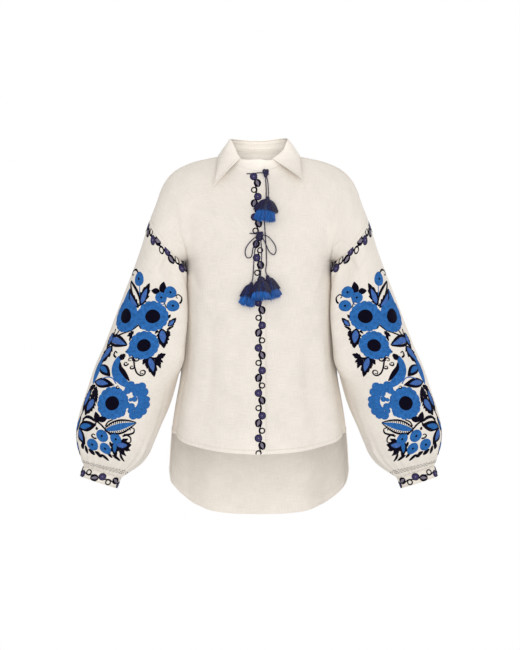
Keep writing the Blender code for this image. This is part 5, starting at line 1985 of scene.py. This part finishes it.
def draw_striped_leaf(sewn, base, tip):
    """A leaf with a blue blade, and stripes from the blade to its outline."""
    sewn.leaf(base, tip, STRIPED_HALF * STEP * BLADE_SHARE, "blue", None)
    sewn.leaf(base, tip, STRIPED_HALF * STEP, None, thick=STRIPED_LEAF_LINE)
    run = tip - base
    side = sideways(run)
    for share in STRIPES:
        wide = STRIPED_HALF * STEP * leaf_width(share)
        for way in (-1, 1):
            root = base + run * share + side * way * wide * 0.5
            end = base + run * (share + STRIPE_LEAN) + side * way * wide
            sewn.band([root, (root + end) / 2, end], STRIPE_HALF, "navy", RISE["stem"])


# The garlands, and the dashes of painted shade for the openwork holes of the drawn threadwork.
FRONT_GARLAND_LOW = ((-1.4, 203.0), (0.4, 260.0), (2.6, 330.0), (2.8, 420.0), (2.8, 520.0), (2.8, 632.0))
FRONT_GARLAND_HIGH = ((-7.4, 45.0), (-6.4, 90.0), (-5.6, 130.0), (-3.4, 165.0), (-2.0, 190.0))
GARLAND_STEP = 15.4  # round the armhole and the cuff
ARMHOLE_GARLAND_DOWN = 8.5
ARMHOLE_GARLAND_SCALE = 1.12
GARLAND_ENDS = 8.0  # from the inner side of the sleeve
CUFF_GARLAND_ENDS = 6.0
CUFF_GARLAND_DOWN = 13.0
SHADE_DASH_PITCH = 7.3
SHADE_DASHES_ABOVE_CUFF = 15.0
SHADE_DASH_ROWS = (-4.2, 0.0, 4.2)
SHADE_DASH_SHIFT = 0.9  # from one row to the next
SHADE_DASH_LINE = np.array([(0.0, 0.5), (1.9, -0.1), (3.8, -0.8)])
SHADE_DASH_HALF = 1.3
SHADE_DASH_ENDS = 3.0


def draw_front_garland():
    sewn = Embroidery()
    sewn.garland(FRONT_GARLAND_LOW, first=0)
    sewn.garland(FRONT_GARLAND_HIGH, first=1, flip=-1, step=14.5)
    return sewn


def draw_armhole(ground, sewn):
    """The garland round the armhole, and above the cuff the rows of dark dashes painted as the shade in
    the openwork holes of the drawn threadwork.
    """
    low, high = ground.around[4, 0], ground.around[4, -1]
    around = np.linspace(low + GARLAND_ENDS, high - GARLAND_ENDS, 60)
    line = np.stack([around, np.full(60, ARMHOLE_GARLAND_DOWN)], -1)
    sewn.garland(line, first=0, step=GARLAND_STEP, scale=ARMHOLE_GARLAND_SCALE)
    down = ground.down[-1] - SHADE_DASHES_ABOVE_CUFF
    low, high = ground.around[-8, 0], ground.around[-8, -1]
    # Each dash is painted shade, a dark brown mark where the real cloth has an openwork hole.
    for column in np.arange(low + SHADE_DASH_ENDS, high - SHADE_DASH_ENDS, SHADE_DASH_PITCH):
        for number, row in enumerate(SHADE_DASH_ROWS):
            place = np.array([column + SHADE_DASH_SHIFT * number, down + row])
            sewn.band(place + SHADE_DASH_LINE, SHADE_DASH_HALF, "drawn", RISE["drawn"], step=1.0)


# The stitches of the seams and hems.
STITCH_PITCH = 3.1
STITCH_LENGTH = 2.3
STITCH_SHAPE = table(
    "share rise radius",
    (0, 0.05, 0.15), (0.3, 0.3, 0.3), (0.7, 0.3, 0.3), (1, 0.05, 0.15),
)
STITCH_SIDES = 5
LEAF_STITCH_ROWS = (-3, 7)  # near the leaf's edge, and where its ends begin to show
STAND_STITCH_ROWS = (5, 12, 25)
CUFF_STITCHES_IN = 2.4  # from the cuff's edges


def stitch(mesh, points, normals):
    """A line of stitches along points of a cloth's face."""
    both = resample(np.hstack([points, normals]), STITCH_PITCH / 4)
    points, normals = both[:, :3], unit(both[:, 3:])
    along = walked(points)

    def at(reach, values):
        return np.stack([np.interp(reach, along, column) for column in values.T], -1)

    for number, start in enumerate(np.arange(1.0, along[-1] - STITCH_LENGTH, STITCH_PITCH)):
        reach = start + STITCH_SHAPE["share"] * STITCH_LENGTH
        line = at(reach, points) + at(reach, normals) * STITCH_SHAPE["rise"][:, None]
        add_tube(mesh, line, STITCH_SHAPE["radius"], STITCH_SIDES, offset=number * 3.0)


def stitch_lines(front_grids, back_outer, back_inward, stand, leaf):
    """The lines of stitches of each piece of cloth, as points of its face and the directions out of it."""
    lines = {}
    hem = HEM_ROWS.index(8.2)
    at_neck = int(np.argmin(np.abs(TURNS - NECK_SHARE)))
    for name, (outer, inward) in front_grids.items():
        lap = len(LAP_STEPS)
        shown = slice(2, None) if name == "front_right" else slice(lap, None)
        edges = [(hem, shown), (slice(ARMPIT_ROW, -1), -3), (-3, slice(lap + at_neck + 1, -2))]
        if name == "front_right":
            edges.append((slice(hem, -3), 2))
        lines[name] = [(outer[place], -inward[place]) for place in edges]
    lines["back"] = [
        (back_outer[place], -back_inward[place])
        for place in ((hem, slice(2, -2)), (slice(ARMPIT_ROW, -1), 2), (slice(ARMPIT_ROW, -1), -3))
    ]
    inner, inward = stand
    lines["collar_stand"] = [(inner[row, 8:-8], inward[row, 8:-8]) for row in STAND_STITCH_ROWS]
    outer, inward = leaf
    low, high = LEAF_STITCH_ROWS
    edges = [(low, slice(2, -2)), (slice(high, low), 2), (slice(high, low), -3)]
    lines["collar_leaf"] = [(outer[place], -inward[place]) for place in edges]
    for side, name in ((-1, "cuff_right"), (1, "cuff_left")):
        ground, low, high = cuff_ground(side)
        around = np.linspace(low, high, 160)
        downs = (CUFF_STITCHES_IN, CUFF_LENGTH - CUFF_STITCHES_IN)
        lines[name] = [ground(np.stack([around, np.full(160, down)], -1)) for down in downs]
    return lines


def build_stitches(lines, thread):
    stitches = {}
    for name, pairs in lines.items():
        mesh = Mesh()
        for points, normals in pairs:
            stitch(mesh, points, normals)
        stitches[name] = mesh.build(f"{name}_stitches", [thread], sharp=80)
    return stitches


# The cut of each piece of cloth, in metres: its greatest width and length, its flat area, how it is held
# and what it hangs from.
CUTS = {
    "front_right": (0.29, 0.68, 0.160, "hung", ["back"]),
    "front_left": (0.29, 0.68, 0.160, "hung", ["back"]),
    "back": (0.54, 0.82, 0.360, "hung", ["collar_stand"]),
    "sleeve_right": (0.54, 0.60, 0.260, "gathered", ["front_right", "back"]),
    "sleeve_left": (0.54, 0.60, 0.260, "gathered", ["front_left", "back"]),
    "cuff_right": (0.235, 0.0245, 0.0057, "hung", ["sleeve_right"]),
    "cuff_left": (0.235, 0.0245, 0.0057, "hung", ["sleeve_left"]),
    "collar_stand": (0.44, 0.04, 0.0118, "folded", ["front_right", "front_left", "back"]),
    "collar_leaf": (0.52, 0.075, 0.0205, "folded", ["collar_stand"]),
}


def declare_cloth(cloths, on_cloth):
    for name, (width, length, area, held, rests_on) in CUTS.items():
        [cloths[other] for other in rests_on]
        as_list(on_cloth[name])


def sew(threads, fronts_grids):
    """Lay all the embroidery on the cloth, and give the pieces of each cloth."""

    def lay(sewn, name, ground):
        return sewn.lay(name, ground, DARK_THREADS, threads, "navy_thread")

    laid = {"front_right": [lay(draw_front_garland(), "garland_front", front_ground(fronts_grids))]}
    for side, name in ((-1, "right"), (1, "left")):
        sleeve = SleeveGround(side)
        bouquet = draw_bouquet(sleeve, False)
        bouquet.grids += draw_bouquet(sleeve, True).grids
        draw_armhole(sleeve, bouquet)
        laid[f"sleeve_{name}"] = [
            lay(bouquet, f"bouquet_{name}_dark", sleeve),
            bouquet.lay(f"bouquet_{name}_blue", sleeve, BLUE_THREADS, threads, "blue_thread"),
        ]
        cuff, low, high = cuff_ground(side)
        sewn = Embroidery()
        around = np.linspace(high - CUFF_GARLAND_ENDS, low + CUFF_GARLAND_ENDS, 40)
        line = np.stack([around, np.full(40, CUFF_GARLAND_DOWN)], -1)
        sewn.garland(line, first=1, step=GARLAND_STEP)
        laid[f"cuff_{name}"] = [lay(sewn, f"garland_cuff_{name}", cuff)]
    return laid


# The lamps of the studio: kind, place and aim in metres, size in degrees, and power.
LAMPS = {
    "front_high": ("SUN", (0.9, -4.0, 0.7), (0, 0, 0), 40, 0.54),
    "front_low": ("SUN", (0.0, -4.0, -0.6), (0, 0, 0), 40, 0.52),
    "neck": ("SPOT", (0, -3.0, 0.3), (0.008, 0.06, 0.036), 3.4, 190),
    "hem": ("SPOT", (0, -3.0, -0.9), (0, 0.1, -0.76), 8.5, 45),
    "back": ("SUN", (1.6, 3.6, 1.6), (0, 0, -0.3), 45, 0.7),
}
SPOT_SOFTNESS = 0.04  # a larger one would spread the light past the spot's cone
WORLD_LIGHT = 0.74
FLOOR_RADIUS = 3.0
FLOOR_HEIGHT = -1.45


def add_light(name, kind, place, aim, size, power):
    data = bpy.data.lights.new(name, kind)
    data.energy = power
    if kind == "SPOT":
        data.spot_size = math.radians(size)
        data.spot_blend = 1.0
        data.shadow_soft_size = SPOT_SOFTNESS
    else:
        data.angle = math.radians(size)
    lamp = bpy.data.objects.new(name, data)
    lamp.location = place
    lamp.rotation_euler = (Vector(aim) - Vector(place)).to_track_quat("-Z", "Y").to_euler()
    bpy.context.scene.collection.objects.link(lamp)


def add_studio():
    """A plain pale floor far below the blouse, white surroundings and large soft lamps."""
    scene = bpy.context.scene
    world = bpy.data.worlds.new("studio")
    world.use_nodes = True
    background = world.node_tree.nodes["Background"]
    background.inputs["Color"].default_value = (1, 1, 1, 1)
    # What the camera sees of the surroundings is white, and the light from them is softer.
    rays = world.node_tree.nodes.new("ShaderNodeLightPath")
    strength = world.node_tree.nodes.new("ShaderNodeMapRange")
    strength.inputs["To Min"].default_value = WORLD_LIGHT
    strength.inputs["To Max"].default_value = 1.0
    world.node_tree.links.new(rays.outputs["Is Camera Ray"], strength.inputs["Value"])
    world.node_tree.links.new(strength.outputs["Result"], background.inputs["Strength"])
    scene.world = world
    scene.view_settings.view_transform = "Standard"
    floor = bmesh.new()
    bmesh.ops.create_circle(floor, cap_ends=True, segments=96, radius=FLOOR_RADIUS)
    bmesh.ops.translate(floor, vec=(0, 0, FLOOR_HEIGHT), verts=floor.verts)
    mesh = bpy.data.meshes.new("floor")
    floor.to_mesh(mesh)
    floor.free()
    nodes = Nodes("floor_paper")
    places = nodes.add("TexCoord").outputs["Object"]
    grain = nodes.noise(places, (9, 9, 9))
    tint = nodes.between(grain, (0.86, 0.86, 0.86, 1), (0.9, 0.9, 0.9, 1))
    nodes.fill(nodes.shader, Base_Color=tint, Roughness=0.9)
    mesh.materials.append(nodes.material)
    piece = bpy.data.objects.new("floor", mesh)
    scene.collection.objects.link(piece)
    for name, facts in LAMPS.items():
        add_light(name, *facts)


add_camera()
navy_yarn = yarn_material("navy_yarn", YARN_NAVY)
blue_yarn = yarn_material("blue_yarn", YARN_BLUE)
cords = build_cords(navy_yarn)
knots = build_knots(navy_yarn)
tassels = build_tassels(navy_yarn, blue_yarn)
declare_cords({**cords, **knots, **tassels})

linen = linen_material("cream_linen", CREAM)
fronts, front_grids = build_fronts(linen)
back, back_outer, back_inward = build_back(linen)
sleeves = build_sleeves(linen)
cuffs = build_cuffs(linen)
stand, *stand_face = build_stand(linen)
leaf, *leaf_face = build_leaf(linen)
cloths = {**fronts, "back": back, **sleeves, **cuffs, "collar_stand": stand, "collar_leaf": leaf}
for name, piece in cloths.items():
    dress(piece, name)

threads = {name: thread_material(f"{name}_thread", shade) for name, shade in THREADS.items()}
laid = sew(threads, front_grids)
lines = stitch_lines(front_grids, back_outer, back_inward, stand_face, leaf_face)
stitches = build_stitches(lines, thread_material("cream_thread", CREAM_THREAD))
on_cloth = {name: laid.get(name, []) + ([stitches[name]] if name in stitches else []) for name in cloths}
declare_cloth(cloths, on_cloth)

add_studio()
